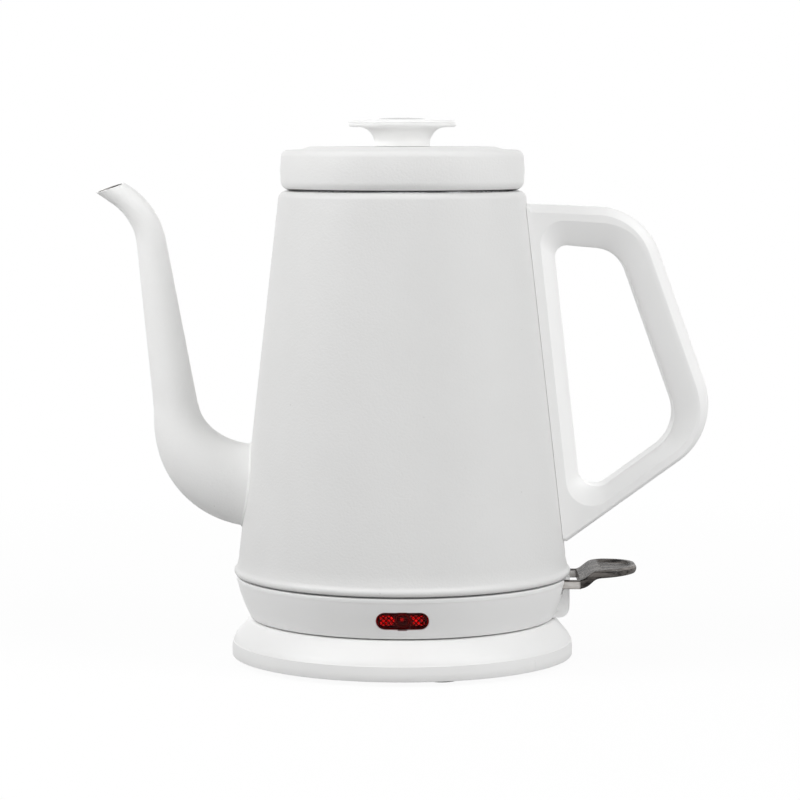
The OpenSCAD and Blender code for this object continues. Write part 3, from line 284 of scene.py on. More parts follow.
def eased(corners, steps=6):
    """A closed profile of (x, z, radius) corners, each rounded by its radius."""
    points = []
    for i, (x, z, r) in enumerate(corners):
        here = Vector((x, z))
        to_last = (Vector(corners[i - 1][:2]) - here).normalized()
        to_next = (Vector(corners[(i + 1) % len(corners)][:2]) - here).normalized()
        half = to_last.angle(to_next, 0) / 2
        if r <= 0 or half < 0.01 or half > math.pi / 2 - 0.01:
            points.append((x, z))
            continue
        middle = (to_last + to_next).normalized()
        centre = here + middle * (r / math.sin(half))
        swing = math.pi / 2 - half
        side = Vector((-middle.y, middle.x))
        side = side if side.dot(to_next) > 0 else -side
        for k in range(steps + 1):
            a = -swing + 2 * swing * k / steps
            points.append(tuple(centre + r * (-middle * math.cos(a) + side * math.sin(a))))
    return points


def lathe(name, profile, finish, turns=192, crease=32):
    """A solid turned about the vertical axis from a closed profile of (radius, height)."""
    points, faces, count = [], [], len(profile)
    for k in range(turns):
        a = 2 * math.pi * k / turns
        points += [(r * math.cos(a), r * math.sin(a), z) for r, z in profile]
    for k in range(turns):
        this, after = k * count, (k + 1) % turns * count
        for i in range(count):
            j = (i + 1) % count
            if profile[i][0] < 0.001 and profile[j][0] < 0.001:
                continue
            faces.append((this + i, after + i, after + j, this + j))
    return mesh_piece(name, points, faces, finish, crease)


def rod(start, end, r, finish=None, sides=48, r_end=None):
    """A straight round bar between two points, for bosses, hubs and holes."""
    start, end = Vector(start), Vector(end)
    along = (end - start).normalized()
    across = along.orthogonal().normalized()
    other = along.cross(across)
    points = []
    for centre, radius in ((start, r), (end, r if r_end is None else r_end)):
        points += [centre + radius * (math.cos(a) * across + math.sin(a) * other)
                   for a in (2 * math.pi * k / sides for k in range(sides))]
    faces = [tuple(range(sides))[::-1], tuple(range(sides, 2 * sides))]
    faces += [(k, (k + 1) % sides, sides + (k + 1) % sides, sides + k) for k in range(sides)]
    return mesh_piece("rod", points, faces, finish)


def slab(low, high, edge=0.0, finish=None, steps=3):
    """A block between two corners, with its edges rounded."""
    points = [(x, y, z) for x in (low[0], high[0]) for y in (low[1], high[1]) for z in (low[2], high[2])]
    faces = [(0, 1, 3, 2), (4, 6, 7, 5), (0, 4, 5, 1), (2, 3, 7, 6), (0, 2, 6, 4), (1, 5, 7, 3)]
    block = mesh_piece("slab", points, faces, finish)
    if edge > 0:
        shape = bmesh.new()
        shape.from_mesh(block.data)
        bmesh.ops.bevel(shape, geom=shape.edges[:] + shape.verts[:], offset=edge * mm, segments=steps,
                        profile=0.5, affect="EDGES")
        shape.to_mesh(block.data)
        shape.free()
    return block


def shape_with(piece, operation, tools, crease=32):
    """Joins tools to a piece (UNION), cuts them from it (DIFFERENCE) or keeps what they share."""
    for tool in tools:
        step = piece.modifiers.new("shape", "BOOLEAN")
        step.operation, step.object, step.solver = operation, tool, "EXACT"
        shaped = bpy.data.meshes.new_from_object(
            piece.evaluated_get(bpy.context.evaluated_depsgraph_get()))
        piece.modifiers.clear()
        old = piece.data
        piece.data = shaped
        shaped.name = piece.name
        bpy.data.meshes.remove(old)
        bpy.data.objects.remove(tool)
    soften(piece.data, crease)
    return piece


z_rim, z_deck = 1.8, 17.0
base_r, base_wall = 70.0, 2.2
rim_h, rim_roll, slope, deck_roll = 3.0, 9.0, 50.0, 2.0
step_gap_r = 19.1
wall_top, wall_lean = 7.8, 0.3


def base_skin(depth):
    """The outside of the base moved in by a depth, from the rim up to the edge of the deck."""
    rim_x, rim_z = base_r - rim_roll, z_rim + rim_h
    lean = math.radians(90 - slope)
    on_x = rim_x + (rim_roll - depth) * math.cos(lean)
    on_z = rim_z + (rim_roll - depth) * math.sin(lean)
    edge_x = on_x - (z_deck - depth - on_z) / math.tan(math.radians(slope))
    skin = [(base_r - depth, rim_z), (base_r - wall_lean - depth, wall_top)] if depth == 0 else []
    first = math.degrees(math.asin((wall_top + 0.15 - rim_z) / (rim_roll - depth))) if depth == 0 else 0
    skin += arc(rim_x, rim_z, rim_roll - depth, first, 90 - slope, 16)
    if deck_roll > depth:
        r = deck_roll - depth
        skin += arc(edge_x - r * math.tan(math.radians(slope / 2)), z_deck - depth - r, r, 90 - slope, 90, 10)
    else:
        skin.append((edge_x, z_deck - depth))
    return skin


def satin_white(name, colour, roughness, grain=0.000004):
    """A satin white moulding: a faint cloudiness, a very fine texture and slightly uneven gloss."""
    finish = Finish(name)
    cloud = finish.noise(60.0, 3.0)
    fine = finish.noise(2600.0, 2.0, 0.6)
    low = tuple(c * 0.985 for c in colour)
    high = tuple(min(1.0, c * 1.01) for c in colour)
    return finish.surface(finish.tint(cloud, low, high), cloud * 0.08 + (roughness - 0.04),
                          Normal=finish.bump(fine, grain), Specular_IOR_Level=0.40)


base_white = satin_white("satin_white_base", (0.89, 0.89, 0.885), 0.42)
lead_z, lead_r, lead_wall = 9.4, 3.6, 1.6
lead_y_in, lead_y_out = 56.0, 63.5
boss_r, boss_z0, boss_ring, screw_r = 3.6, 4.3, 46.0, 1.5
boss_top = z_deck - base_wall + 0.3

base_shell = lathe(
    "base_moulding",
    [(base_r - 0.5, z_rim), (base_r - 0.15, z_rim + 0.1), (base_r, z_rim + 0.45)] + base_skin(0)
    + [(step_gap_r + 0.3, z_deck), (step_gap_r, z_deck - 0.3), (step_gap_r, z_deck - base_wall)]
    + base_skin(base_wall)[::-1] + [(base_r - base_wall, z_rim)],
    base_white,
)
corners_of_ring = [math.radians(a) for a in (45, 135, 225, 315)]
bosses = [rod((boss_ring * math.cos(a), boss_ring * math.sin(a), boss_z0),
              (boss_ring * math.cos(a), boss_ring * math.sin(a), boss_top), boss_r, base_white)
          for a in corners_of_ring]
clamp_x, clamp_y = 9.0, lead_y_in - 9
bosses += [rod((side * clamp_x, clamp_y, lead_z), (side * clamp_x, clamp_y, boss_top), boss_r, base_white)
           for side in (-1, 1)]
bosses.append(rod((0, lead_y_in, lead_z), (0, base_r - 3.0, lead_z), lead_r + lead_wall, base_white))
shape_with(base_shell, "UNION", bosses)
holes = [rod((boss_ring * math.cos(a), boss_ring * math.sin(a), boss_z0 - 1),
             (boss_ring * math.cos(a), boss_ring * math.sin(a), boss_z0 + 8), screw_r)
         for a in corners_of_ring]
holes += [rod((side * clamp_x, clamp_y, lead_z - 1), (side * clamp_x, clamp_y, lead_z + 5.5), screw_r)
          for side in (-1, 1)]
holes.append(rod((0, lead_y_in - 1, lead_z), (0, base_r + 2, lead_z), lead_r))
holes.append(rod((0, lead_y_out, lead_z), (0, base_r + 2, lead_z), lead_r + 1.4))
parting = Vector((math.cos(math.radians(-41)), math.sin(math.radians(-41))))
holes.append(rod(
    (*(parting * (base_r + 0.05)), z_rim - 1), (*(parting * (base_r - 0.12)), wall_top - 0.3), 0.14))
shape_with(base_shell, "DIFFERENCE", holes)
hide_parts("base_shell")
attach(base_shell, "base")


# ---- Power base, floor, feet, screws and lead clamp ----
# The floor moulding closes the base from below. It carries four soft feet in shallow seats, and a steel
# saddle inside holds the lead. Its screws are plain zinc-plated steel.
def dress(finish, *names):
    """Gives carried-over nodes their finish."""
    for name in names:
        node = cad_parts[name]
        for held in node.material_slots:
            held.material = finish
        if not node.material_slots:
            node.data.materials.append(finish)


def moulded(name, colour, roughness, specks=0.06, scale=900.0, depth=0.000008):
    """Moulded plastic or rubber in one colour, with a faint mottle and a fine surface texture."""
    finish = Finish(name)
    mottle = finish.noise(220.0, 3.0)
    fine = finish.noise(scale, 2.0)
    low = tuple(c * (1 - specks) for c in colour)
    high = tuple(min(1.0, c * (1 + specks)) for c in colour)
    return finish.surface(finish.tint(mottle, low, high), mottle * 0.12 + (roughness - 0.06),
                          Normal=finish.bump(fine, depth))


def metal(name, colour, roughness, lines=(1, 1, 1), scale=500.0, depth=0.000003):
    """Bare metal with fine working marks, drawn out along the axis whose factor is small."""
    finish = Finish(name)
    place = finish.add("ShaderNodeMapping", {"vector_type": "POINT"}, Vector=finish.place(), Scale=lines)
    marks = finish.noise(scale, 3.0, 0.6, place)
    low = tuple(c * 0.93 for c in colour)
    return finish.surface(finish.tint(marks, low, colour), marks * 0.14 + (roughness - 0.07),
                          Metallic=1.0, Normal=finish.bump(marks, depth))


dress(moulded("floor_white", (0.86, 0.86, 0.85), 0.46, 0.02), "base_floor")
dress(moulded("grey_rubber", (0.30, 0.30, 0.305), 0.75, 0.10, 700.0, 0.00002), "base_feet")
zinc = metal("zinc_plate", (0.70, 0.71, 0.73), 0.34)
dress(zinc, "base_screws", "lead_clamp")

# ---- Connector and its contacts ----
# The round black connector stands in the middle of the deck. Sprung brass leaves sit inside its centre
# hole and its ring slot, so the kettle connects at any turn.
black_moulding = moulded("black_moulding", (0.022, 0.022, 0.024), 0.42, 0.15, 1100.0)
brass = metal("contact_brass", (0.80, 0.60, 0.27), 0.26, (1, 1, 0.15))
dress(black_moulding, "base_connector")
dress(brass, "base_contacts")

# ---- Inlet of the kettle ----
# The matching black inlet hangs under the kettle's control, with a brass pin and a brass ring.
dress(black_moulding, "inlet_body")
dress(brass, "inlet_contacts")

# ---- Vessel ----
# A thin steel shell with a straight taper, a rolled bead at its foot and a soft shoulder at its mouth.
# The outside has a matt white powder coat with a fine grain; the inside is bare brushed steel.
z_vessel, z_cone, z_top = 35.0, 40.05, 191.85
vessel_r, taper, steel_t = 67.4, math.radians(6.45), 0.8
bead_x, bead_z, bead_r, bead_leave, flare_r, flare_top = 67.6, 36.5, 1.5, 50, 2.3, 43.2
flare_end, flare_out, flare_drop = 193, 0.04, 1.2
shoulder_r, mouth_r, mouth_coat_r, lip_h, hem_r = 3.2, 43.0, 46.3, 3.0, 64.8


def wall_r(z):
    return vessel_r - (z - z_cone) * math.tan(taper)


def wall_in(z, depth):
    return wall_r(z) - depth / math.cos(taper)


def vessel_skin(depth):
    """The outside of the vessel moved in by a depth, from its lower edge up to its shoulder."""
    skin = arc(bead_x, bead_z, bead_r - depth, -90, bead_leave, 16)
    leave = math.radians(bead_leave)
    skin += arc(bead_x + (bead_r + flare_r) * math.cos(leave), bead_z + (bead_r + flare_r) * math.sin(leave),
                flare_r + depth, 180 + bead_leave, flare_end, 12)[1:]
    skin += [(wall_in(flare_top, depth) + flare_out, flare_top - flare_drop)]
    skin += [(wall_in(z, depth), z) for z in (flare_top + 0.4, 60, 90, 120, 150, 180)]
    shoulder_z = z_top - shoulder_r
    skin += arc(wall_in(shoulder_z, shoulder_r), shoulder_z, shoulder_r - depth,
                math.degrees(taper), 90, 14)
    return skin


def powder_coat(name, level, bare_inside=False, painted_shadow_below=0):
    """Matt white powder coat: a fine orange-peel grain, rare dark specks and a slightly uneven white.

    Where bare_inside is set, the inner face of the vessel and its mouth show as brushed steel instead. Where
    painted_shadow_below is set, the coat is painted near black below that height: a painted shadow of the gap
    under the lid's edge.
    """
    finish = Finish(name)
    place = finish.place()
    grain = finish.noise(1050.0, 3.0, 0.55, place)
    cloud = finish.noise(38.0, 2.0, 0.5, place)
    spots = finish.add("ShaderNodeTexVoronoi", {"feature": "F1"}, Vector=place, Scale=210.0, Randomness=1.0)
    patch = finish.noise(90.0, 1.0, 0.5, place)
    speck = (spots < 0.05) * (patch > 0.66)
    white = finish.tint(
        cloud, (level * 0.98, level * 0.98, level * 0.971), (level * 1.02, level * 1.02, level * 1.013))
    coat = finish.blend(speck * 0.35, white, (0.30, 0.28, 0.26, 1))
    rough = grain * 0.10 + 0.47
    x, y, z = finish.axes(place)
    if not bare_inside:
        if painted_shadow_below:
            # Painted shadow: near black below the given height, for the dark gap under the lid's lowest edge.
            coat = finish.blend(z < painted_shadow_below * mm, coat, (0.02, 0.02, 0.02, 1))
        return finish.surface(coat, rough, Normal=finish.bump(grain, 0.00011))
    reach = (x * x + y * y) ** 0.5 + z * math.tan(taper)
    skin_at = (vessel_r - steel_t * 0.5) * mm + z_cone * mm * math.tan(taper)
    shoulder_z = z_top - shoulder_r
    round_x = ((x * x + y * y) ** 0.5 - wall_in(shoulder_z, shoulder_r) * mm).highest(0)
    round_z = (z - shoulder_z * mm).highest(0)
    under_shoulder = (round_x * round_x + round_z * round_z) ** 0.5 < (shoulder_r - steel_t * 0.5) * mm
    inner = (reach < skin_at) * under_shoulder.highest(z < shoulder_z * mm)
    inner = inner.highest((z > (z_top - 1.5) * mm) * ((x * x + y * y) ** 0.5 < mouth_coat_r * mm))
    brushed = finish.noise(420.0, 3.0, 0.6, finish.add(
        "ShaderNodeMapping", {"vector_type": "POINT"}, Vector=place, Scale=(0.12, 0.12, 3.0)))
    steel = finish.tint(brushed, (0.52, 0.53, 0.54), (0.64, 0.65, 0.66))
    colour = finish.blend(inner, coat, steel)
    gloss = inner * (brushed * 0.12 + 0.22) + (1 - inner) * rough
    return finish.surface(colour, gloss, Metallic=inner,
                          Normal=finish.bump(grain, 0.00011))


# One powder coat on the vessel, the spout and the lid. The spout's and the lid's copies are lighter than the
# vessel's: painted light, where more light falls on them.
vessel_coat = powder_coat("white_powder_coat_vessel", 0.77, True)
spout_coat_painted_light = powder_coat("white_powder_coat_spout_painted_light", 0.90)
# Top of the painted shadow along the lid's lowest edge.
lid_painted_shadow_top = 192.8
lid_coat_painted_light_and_shadow = powder_coat("white_powder_coat_lid_painted_light_and_shadow", 0.84, painted_shadow_below=lid_painted_shadow_top)
vessel = lathe(
    "vessel",
    [(hem_r, z_vessel)] + vessel_skin(0) + arc(mouth_r + 1, z_top - 1, 1, 90, 180, 6)
    + [(mouth_r, z_top - lip_h), (mouth_r + steel_t, z_top - lip_h), (mouth_r + steel_t, z_top - steel_t)]
    + vessel_skin(steel_t)[::-1] + [(hem_r, z_vessel + steel_t)],
    vessel_coat, 256,
)

# ---- Spout ----
# A slim gooseneck tube, oval where it leaves the wall low down and round above its bend. It is welded
# to the wall round its root, coated with the vessel's powder coat painted lighter as painted light, and cut
# on a slope at its tip.
root_x, root_z = -55.0, 71.05
bend_x, bend_z, bend_r = -59.035, 104.65, 33.6
lean, neck_len = math.radians(8.1), 71.4
tip_bend_r, tip_rise, tip_len = 28.3, math.radians(31.6), 8.0
root_half, root_flat, neck_half, tip_half = 17.4, 0.76, 8.9, 4.6
tip_cut, tip_tilt = math.radians(19.0), math.radians(5.5)

root_run = root_x - bend_x
bend_len = bend_r * (math.pi / 2 - lean)
tip_turn = math.pi / 2 - lean - tip_rise
spout_len = root_run + bend_len + neck_len + tip_bend_r * tip_turn + tip_len
neck_s = root_run + bend_len
tip_s = neck_s + neck_len
swell_end = neck_s + 6.6
bend_end = Vector((bend_x - bend_r * math.cos(lean), bend_z - bend_r * math.sin(lean)))
neck_end = bend_end + neck_len * Vector((-math.sin(lean), math.cos(lean)))
tip_middle = neck_end + tip_bend_r * Vector((-math.cos(lean), -math.sin(lean)))
tip_start = tip_middle + tip_bend_r * Vector((math.sin(tip_rise), math.cos(tip_rise)))


def smooth_step(t):
    t = min(1.0, max(0.0, t))
    return t * t * (3 - 2 * t)


def spout_line(s):
    """The spout's middle line: its point in X and Z, and its heading above -X."""
    if s < root_run:
        return Vector((root_x - s, root_z)), 0.0
    if s < neck_s:
        h = (s - root_run) / bend_r
        return Vector((bend_x - bend_r * math.sin(h), bend_z - bend_r * math.cos(h))), h
    if s < tip_s:
        h = math.pi / 2 - lean
        return bend_end + (s - neck_s) * Vector((-math.cos(h), math.sin(h))), h
    if s < spout_len - tip_len:
        h = math.pi / 2 - lean - (s - tip_s) / tip_bend_r
        return tip_middle + tip_bend_r * Vector((math.sin(h), math.cos(h))), h
    return tip_start + (s - spout_len + tip_len) * Vector((-math.cos(tip_rise), math.sin(tip_rise))), tip_rise


def spout_half(s):
    taper_to_tip = (neck_half - tip_half) / (spout_len - swell_end)
    plain = tip_half + taper_to_tip * (spout_len - s)
    swell = root_half - tip_half - taper_to_tip * spout_len
    return plain + swell * (1 - smooth_step((max(0.0, s) / swell_end) ** 1.6))


def spout_flat(s):
    return root_flat + (1 - root_flat) * smooth_step(s / (swell_end + 12))


def spout_skin(s, a, depth):
    """A point of the spout's outside, moved in by a depth."""
    p, h = spout_line(s)
    half = spout_half(s)
    up, out = half - depth, half * spout_flat(s) - depth
    rise = up * math.cos(a)
    return Vector((p.x + rise * math.sin(h), out * math.sin(a), p.y + rise * math.cos(h)))


def where(test, low, high):
    """The length at which a test turns from false to true."""
    for _ in range(40):
        mid = (low + high) / 2
        low, high = (low, mid) if test(mid) else (mid, high)
    return high


def past_wall(p, gap):
    return math.hypot(p.x, p.y) > wall_r(p.z) + gap / math.cos(taper)


cut_edge = tip_start + tip_len * Vector((-math.cos(tip_rise), math.sin(tip_rise)))
cut_edge -= tip_half * Vector((math.sin(tip_rise), math.cos(tip_rise)))


def past_cut(p):
    dx, dz = p.x - cut_edge.x, p.z - cut_edge.y
    return dz * math.cos(tip_cut) - dx * math.sin(tip_cut) > p.y * math.tan(tip_tilt)


spout_sides, spout_rings, weld_gap = 72, 150, 0.05
spout_angles = [2 * math.pi * k / spout_sides for k in range(spout_sides)]


def spout_wall(depth):
    """Rings of the outer or inner face, each side running from the vessel's wall to the sloped cut."""
    ends = []
    for a in spout_angles:
        first = where(lambda s: past_wall(spout_skin(s, a, depth), weld_gap), -8.0, 30.0)
        last = where(lambda s: past_cut(spout_skin(s, a, depth)), spout_len - 16, spout_len + 14)
        ends.append((first, last))
    return [[spout_skin(first + (last - first) * i / spout_rings, a, depth)
             for a, (first, last) in zip(spout_angles, ends)] for i in range(spout_rings + 1)]


def stitched(rings):
    """Points and faces of a closed surface from rings that follow each other, the last back to the first."""
    sides, points, faces = len(rings[0]), [], []
    for ring in rings:
        points += ring
    for i in range(len(rings)):
        this, after = i * sides, (i + 1) % len(rings) * sides
        faces += [(this + k, this + (k + 1) % sides, after + (k + 1) % sides, after + k)
                  for k in range(sides)]
    return points, faces


outside, inside = spout_wall(0.0), spout_wall(steel_t)
lip = [[o.lerp(i, 0.5) + 0.12 * (o - outside[-3][k]).normalized()
        for k, (o, i) in enumerate(zip(outside[-1], inside[-1]))]]
spout = mesh_piece("spout_tube", *stitched(outside + lip + inside[::-1]), spout_coat_painted_light, 40)
# The bore is bare steel, coloured darker than the other steel as painted shade inside the narrow tube.
spout.data.materials.append(metal("bare_steel_bore_painted_shade", (0.30, 0.29, 0.28), 0.42))
for face in spout.data.polygons:
    if face.index >= (spout_rings + 2) * spout_sides:
        face.material_index = 1
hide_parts("spout")
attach(spout, "kettle")

# The weld is a thin bead, half sunk in the seam between the wall and the spout.
weld_r = 0.55
weld_rings = []
for k in range(spout_sides):
    seam = outside[0][k]
    along = (outside[0][(k + 1) % spout_sides] - outside[0][k - 1]).normalized()
    wall_out = Vector((seam.x, seam.y, math.hypot(seam.x, seam.y) * math.tan(taper))).normalized()
    tube_out = wall_out.cross(along).normalized()
    weld_rings.append([seam + weld_r * (math.cos(b) * wall_out + math.sin(b) * tube_out)
                       for b in (2 * math.pi * j / 14 for j in range(14))])
weld = mesh_piece("spout_weld", *stitched(weld_rings), spout_coat_painted_light, 60)
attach(weld, "kettle")

wall_s = root_x + wall_r(root_z)
hole_up = spout_half(wall_s) - steel_t - 2
hole_out = spout_half(wall_s) * spout_flat(wall_s) - steel_t - 2
hole_rings = [[Vector((x, hole_out * math.cos(a), root_z + hole_up * math.sin(a))) for a in spout_angles]
              for x in (-wall_r(root_z) - 12, -wall_r(root_z) + 18)]
hole_points = hole_rings[0] + hole_rings[1]
hole_faces = [(k, (k + 1) % spout_sides, spout_sides + (k + 1) % spout_sides, spout_sides + k)
              for k in range(spout_sides)]
hole_faces += [tuple(range(spout_sides)), tuple(range(spout_sides, 2 * spout_sides))]
shape_with(vessel, "DIFFERENCE", [mesh_piece("spout_hole", hole_points, hole_faces, vessel_coat)])
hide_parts("kettle_body")
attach(vessel, "kettle")

# ---- Heater, seal and steam tube ----
# The steel floor of the vessel carries an aluminium plate with the sheathed element under it. A soft
# ring seals it to the collar, and a thin steel tube brings steam down to the switch.
floor_steel = metal("brushed_steel", (0.60, 0.61, 0.62), 0.27, (1, 0.08, 1), 900.0)
dress(floor_steel, "heater_plate")
dress(metal("cast_aluminium", (0.76, 0.77, 0.78), 0.45, (1, 1, 1), 350.0, 0.00002), "diffuser_plate")
dress(metal("element_sheath", (0.42, 0.42, 0.41), 0.40, (1, 1, 1), 260.0), "heating_element")
dress(metal("drawn_steel", (0.62, 0.63, 0.64), 0.28, (1, 1, 0.05), 1200.0), "steam_tube")
dress(moulded("dark_silicone", (0.06, 0.06, 0.062), 0.55, 0.08, 500.0), "floor_seal")
dress(moulded("red_silicone", (0.42, 0.075, 0.055), 0.55, 0.08, 500.0), "steam_duct")

# ---- Control and underside ----
# The black control sits in the middle under the heater, with three dry-boil discs on top and a steam
# disc at its side. The cover below it is held by three screws in hexagonal studs.
dress(black_moulding, "control_body")
dress(metal("bimetal", (0.66, 0.62, 0.56), 0.36), "bimetal_discs")
dress(zinc, "cover_studs", "cover_screws")
dress(moulded("cover_white", (0.86, 0.86, 0.85), 0.46, 0.02), "bottom_cover")

# ---- Collar and switch housing ----
# A satin white moulding that closes the foot of the vessel. Its side swells a little under a straight
# band, and a housing at the handle's side takes the lever's linkage.
z_collar, z_band, z_collar_top = 17.6, 32.4, 34.3
collar_low, collar_top, band_step, collar_bulge, collar_wall = 62.3, 68.2, 0.35, 0.5, 2.2
seal_in_r, flange_t, band_lean = 61.8, 1.6, -5


def collar_side(depth, steps=14):
    """The bulging side of the collar moved in by a depth."""
    low, high = Vector((collar_low - depth, z_collar)), Vector((collar_top - depth - band_step, z_band))
    out = Vector(((high - low).y, -(high - low).x)).normalized()
    return [tuple(low.lerp(high, i / steps) + out * collar_bulge * 4 * (i / steps) * (1 - i / steps))
            for i in range(steps + 1)]


def collar_r(z, depth=0.0):
    """Radius of the collar's side at a height."""
    skin = collar_side(depth)
    for (r0, z0), (r1, z1) in zip(skin, skin[1:]):
        if z0 <= z <= z1:
            return r0 + (r1 - r0) * (z - z0) / (z1 - z0)
    return skin[0][0] if z < z_collar else skin[-1][0]


collar_white = satin_white("satin_white_collar", (0.89, 0.89, 0.885), 0.40)
side = collar_side(0)
edge_r = 0.45
collar = lathe(
    "collar_moulding",
    [(side[0][0] - 0.35, z_collar), (side[0][0] - 0.06, z_collar + 0.1), (side[0][0] + 0.06, z_collar + 0.35)]
    + side[1:-1] + [(side[-1][0], z_band - 0.05), (side[-1][0] + 0.03, z_band + 0.05)]
    + arc(collar_top - 0.35, z_band + 0.3, 0.2, -60, band_lean, 4)
    + arc(collar_top - 0.02 - edge_r, z_collar_top - edge_r, edge_r, band_lean, 90, 6)
    + [(seal_in_r, z_collar_top), (seal_in_r, z_collar_top - flange_t),
       (collar_top - band_step - collar_wall, z_collar_top - flange_t)]
    + collar_side(collar_wall)[::-1],
    collar_white, 256,
)

housing_w, housing_x, housing_low_r, housing_side_r = 19.0, 68.6, 4.4, 2.4


def housing_block(depth, grow, top):
    """The rounded block of the housing, moved in by a depth, whose lower outer edge turns on a radius."""
    half, outer, low = housing_w / 2 - depth, housing_x - depth, z_collar + depth
    side_r = housing_side_r - depth * 0.6
    plan = [(collar_low - 9 + grow, -half)]
    plan += arc(outer - side_r, -half + side_r, side_r, -90, 0, 8)
    plan += arc(outer - side_r, half - side_r, side_r, 0, 90, 8)
    plan += [(collar_low - 9 + grow, half)]
    roll = arc(outer - housing_low_r, low + housing_low_r, housing_low_r, -90, 0, 12)
    levels = [(z, outer - x) for x, z in roll] + [(top, 0.0)]
    points, faces, count = [], [], len(plan)
    for z, pull in levels:
        points += [(min(x, outer - pull), y, z) for x, y in plan]
    for i in range(len(levels) - 1):
        faces += [(i * count + k, i * count + (k + 1) % count, (i + 1) * count + (k + 1) % count,
                   (i + 1) * count + k) for k in range(count)]
    faces += [tuple(range(count)), tuple(range((len(levels) - 1) * count, len(levels) * count))]
    return mesh_piece("housing", points, faces, collar_white)


lever_pin_x, lever_pin_z, pin_boss_y = 60.0, 31.2, 11.3
lever_w, lever_arm_w, lever_z, lever_arm_h, slot_drop = 35.0, 3.0, 32.25, 3.5, 2.25
housing = housing_block(0, 0, z_collar_top)
inner_side = lathe(
    "core",
    [(0, z_collar - 5)] + [(collar_r(z, collar_wall), z) for z in (z_collar - 5, 18, 22, 26, 30)]
    + [(collar_r(z_band, collar_wall), z_collar_top + 5), (0, z_collar_top + 5)],
    collar_white,
)
shape_with(housing, "DIFFERENCE", [inner_side])
shape_with(collar, "UNION", [housing])
hollow = housing_block(1.6, 6, z_collar_top - 1.6)
pin_bosses = [slab((lever_pin_x - 3, s * (pin_boss_y - 1.5) - 1.5, z_collar + 3),
                   (lever_pin_x + 4.5, s * (pin_boss_y - 1.5) + 1.5, z_collar_top - 0.8), 0, collar_white)
              for s in (-1, 1)]
shape_with(collar, "DIFFERENCE", [hollow])
shape_with(collar, "UNION", pin_bosses)

lamp_w, lamp_h, lamp_z, lens_gap = 20.7, 6.9, 25.2, 0.15


def stadium(w, h, y_front, y_back, steps=24):
    """A bar with a stadium section that runs back along Y."""
    half = (w - h) / 2
    ring = arc(half, 0, h / 2, -90, 90, steps) + arc(-half, 0, h / 2, 90, 270, steps)
    points = [(x, y, lamp_z + z) for y in (y_front, y_back) for x, z in ring]
    count = len(ring)
    faces = [(k, (k + 1) % count, count + (k + 1) % count, count + k) for k in range(count)]
    faces += [tuple(range(count)), tuple(range(count, 2 * count))]
    return mesh_piece("stadium", points, faces, collar_white)


arm_y = (lever_w - lever_arm_w) / 2
openings = [stadium(lamp_w + 2 * lens_gap, lamp_h + 2 * lens_gap, -collar_top - 5, -collar_low + 8)]
openings += [slab((lever_pin_x - 1, s * arm_y - lever_arm_w / 2 - 0.4, lever_z - lever_arm_h / 2 - slot_drop),
                  (lever_pin_x + 19, s * arm_y + lever_arm_w / 2 + 0.4, z_collar_top + 12)) for s in (-1, 1)]
notch_w, notch_h = 3.6, 0.42
openings += [slab((-notch_w / 2, -collar_top - 5, lamp_z - lamp_h / 2 - lens_gap - notch_h),
                  (notch_w / 2, -collar_low + 3.2, lamp_z - lamp_h / 2)),
             slab((-notch_w / 2, -collar_top - 5, lamp_z + lamp_h / 2),
                  (notch_w / 2, -collar_low + 3.2, lamp_z + lamp_h / 2 + lens_gap + notch_h * 0.3))]
openings.append(rod(
    (lever_pin_x, -pin_boss_y - 1, lever_pin_z), (lever_pin_x, pin_boss_y + 1, lever_pin_z), 1.28))
shape_with(collar, "DIFFERENCE", openings)
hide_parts("collar")
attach(collar, "kettle")

# ---- Pilot lamp ----
# A clear red lens is set flush in the collar. Its back is moulded into rows of small prisms on each side
# of a plain middle, where a neon lamp on a little board stands behind it.
red_clear = Finish("red_clear_moulding_painted_rim_shade")
tone = red_clear.noise(300.0, 2.0)
x, y, z = (part / mm for part in red_clear.axes(red_clear.place()))
beyond = (x.size() - (lamp_w - lamp_h) / 2).highest(0)
rim_start = lamp_h / 2 - 0.45
# Painted shade: the lens turns a darker red towards its rim.
lens_rim_painted_shade = (((beyond * beyond + (z - lamp_z) * (z - lamp_z)) ** 0.5 - rim_start) * 4).highest(0).lowest(1)
lens_tone = red_clear.tint(tone, (0.93, 0.26, 0.26), (0.97, 0.32, 0.32))
red_lens_finish = red_clear.surface(
    red_clear.blend(lens_rim_painted_shade, lens_tone, (0.42, 0.02, 0.02, 1)), tone * 0.04 + 0.04,
    Transmission_Weight=1.0, IOR=1.15,
)


def on_collar(x, z, depth):
    """A point of the collar's side at a place seen from the front, moved in by a depth."""
    r = collar_r(z, depth)
    return (x, -math.sqrt(r * r - x * x), z)


def lens_shell(name, w, h, rings, finish):
    """A closed lens from nested stadium rings of (share of the outline, depth in from the collar's side)."""
    half, steps = (w - h) / 2, 28
    span = [(-half + 2 * half * k / 14, s * h / 2) for s in (-1, 1) for k in range(1, 14)]
    low = [p for p in span if p[1] < 0]
    high = [p for p in span if p[1] > 0][::-1]
    outline = low + arc(half, 0, h / 2, -90, 90, steps) + high + arc(-half, 0, h / 2, 90, 270, steps)
    points, faces, count = [], [], len(outline)
    for share, depth in rings:
        for x, z in outline:
            core = max(-half, min(half, x))
            px, pz = core + (x - core) * share, z * share
            points.append(on_collar(px, lamp_z + pz, depth))
    for i in range(len(rings) - 1):
        faces += [(i * count + k, i * count + (k + 1) % count, (i + 1) * count + (k + 1) % count,
                   (i + 1) * count + k) for k in range(count)]
    return mesh_piece(name, points, faces, finish, 40)


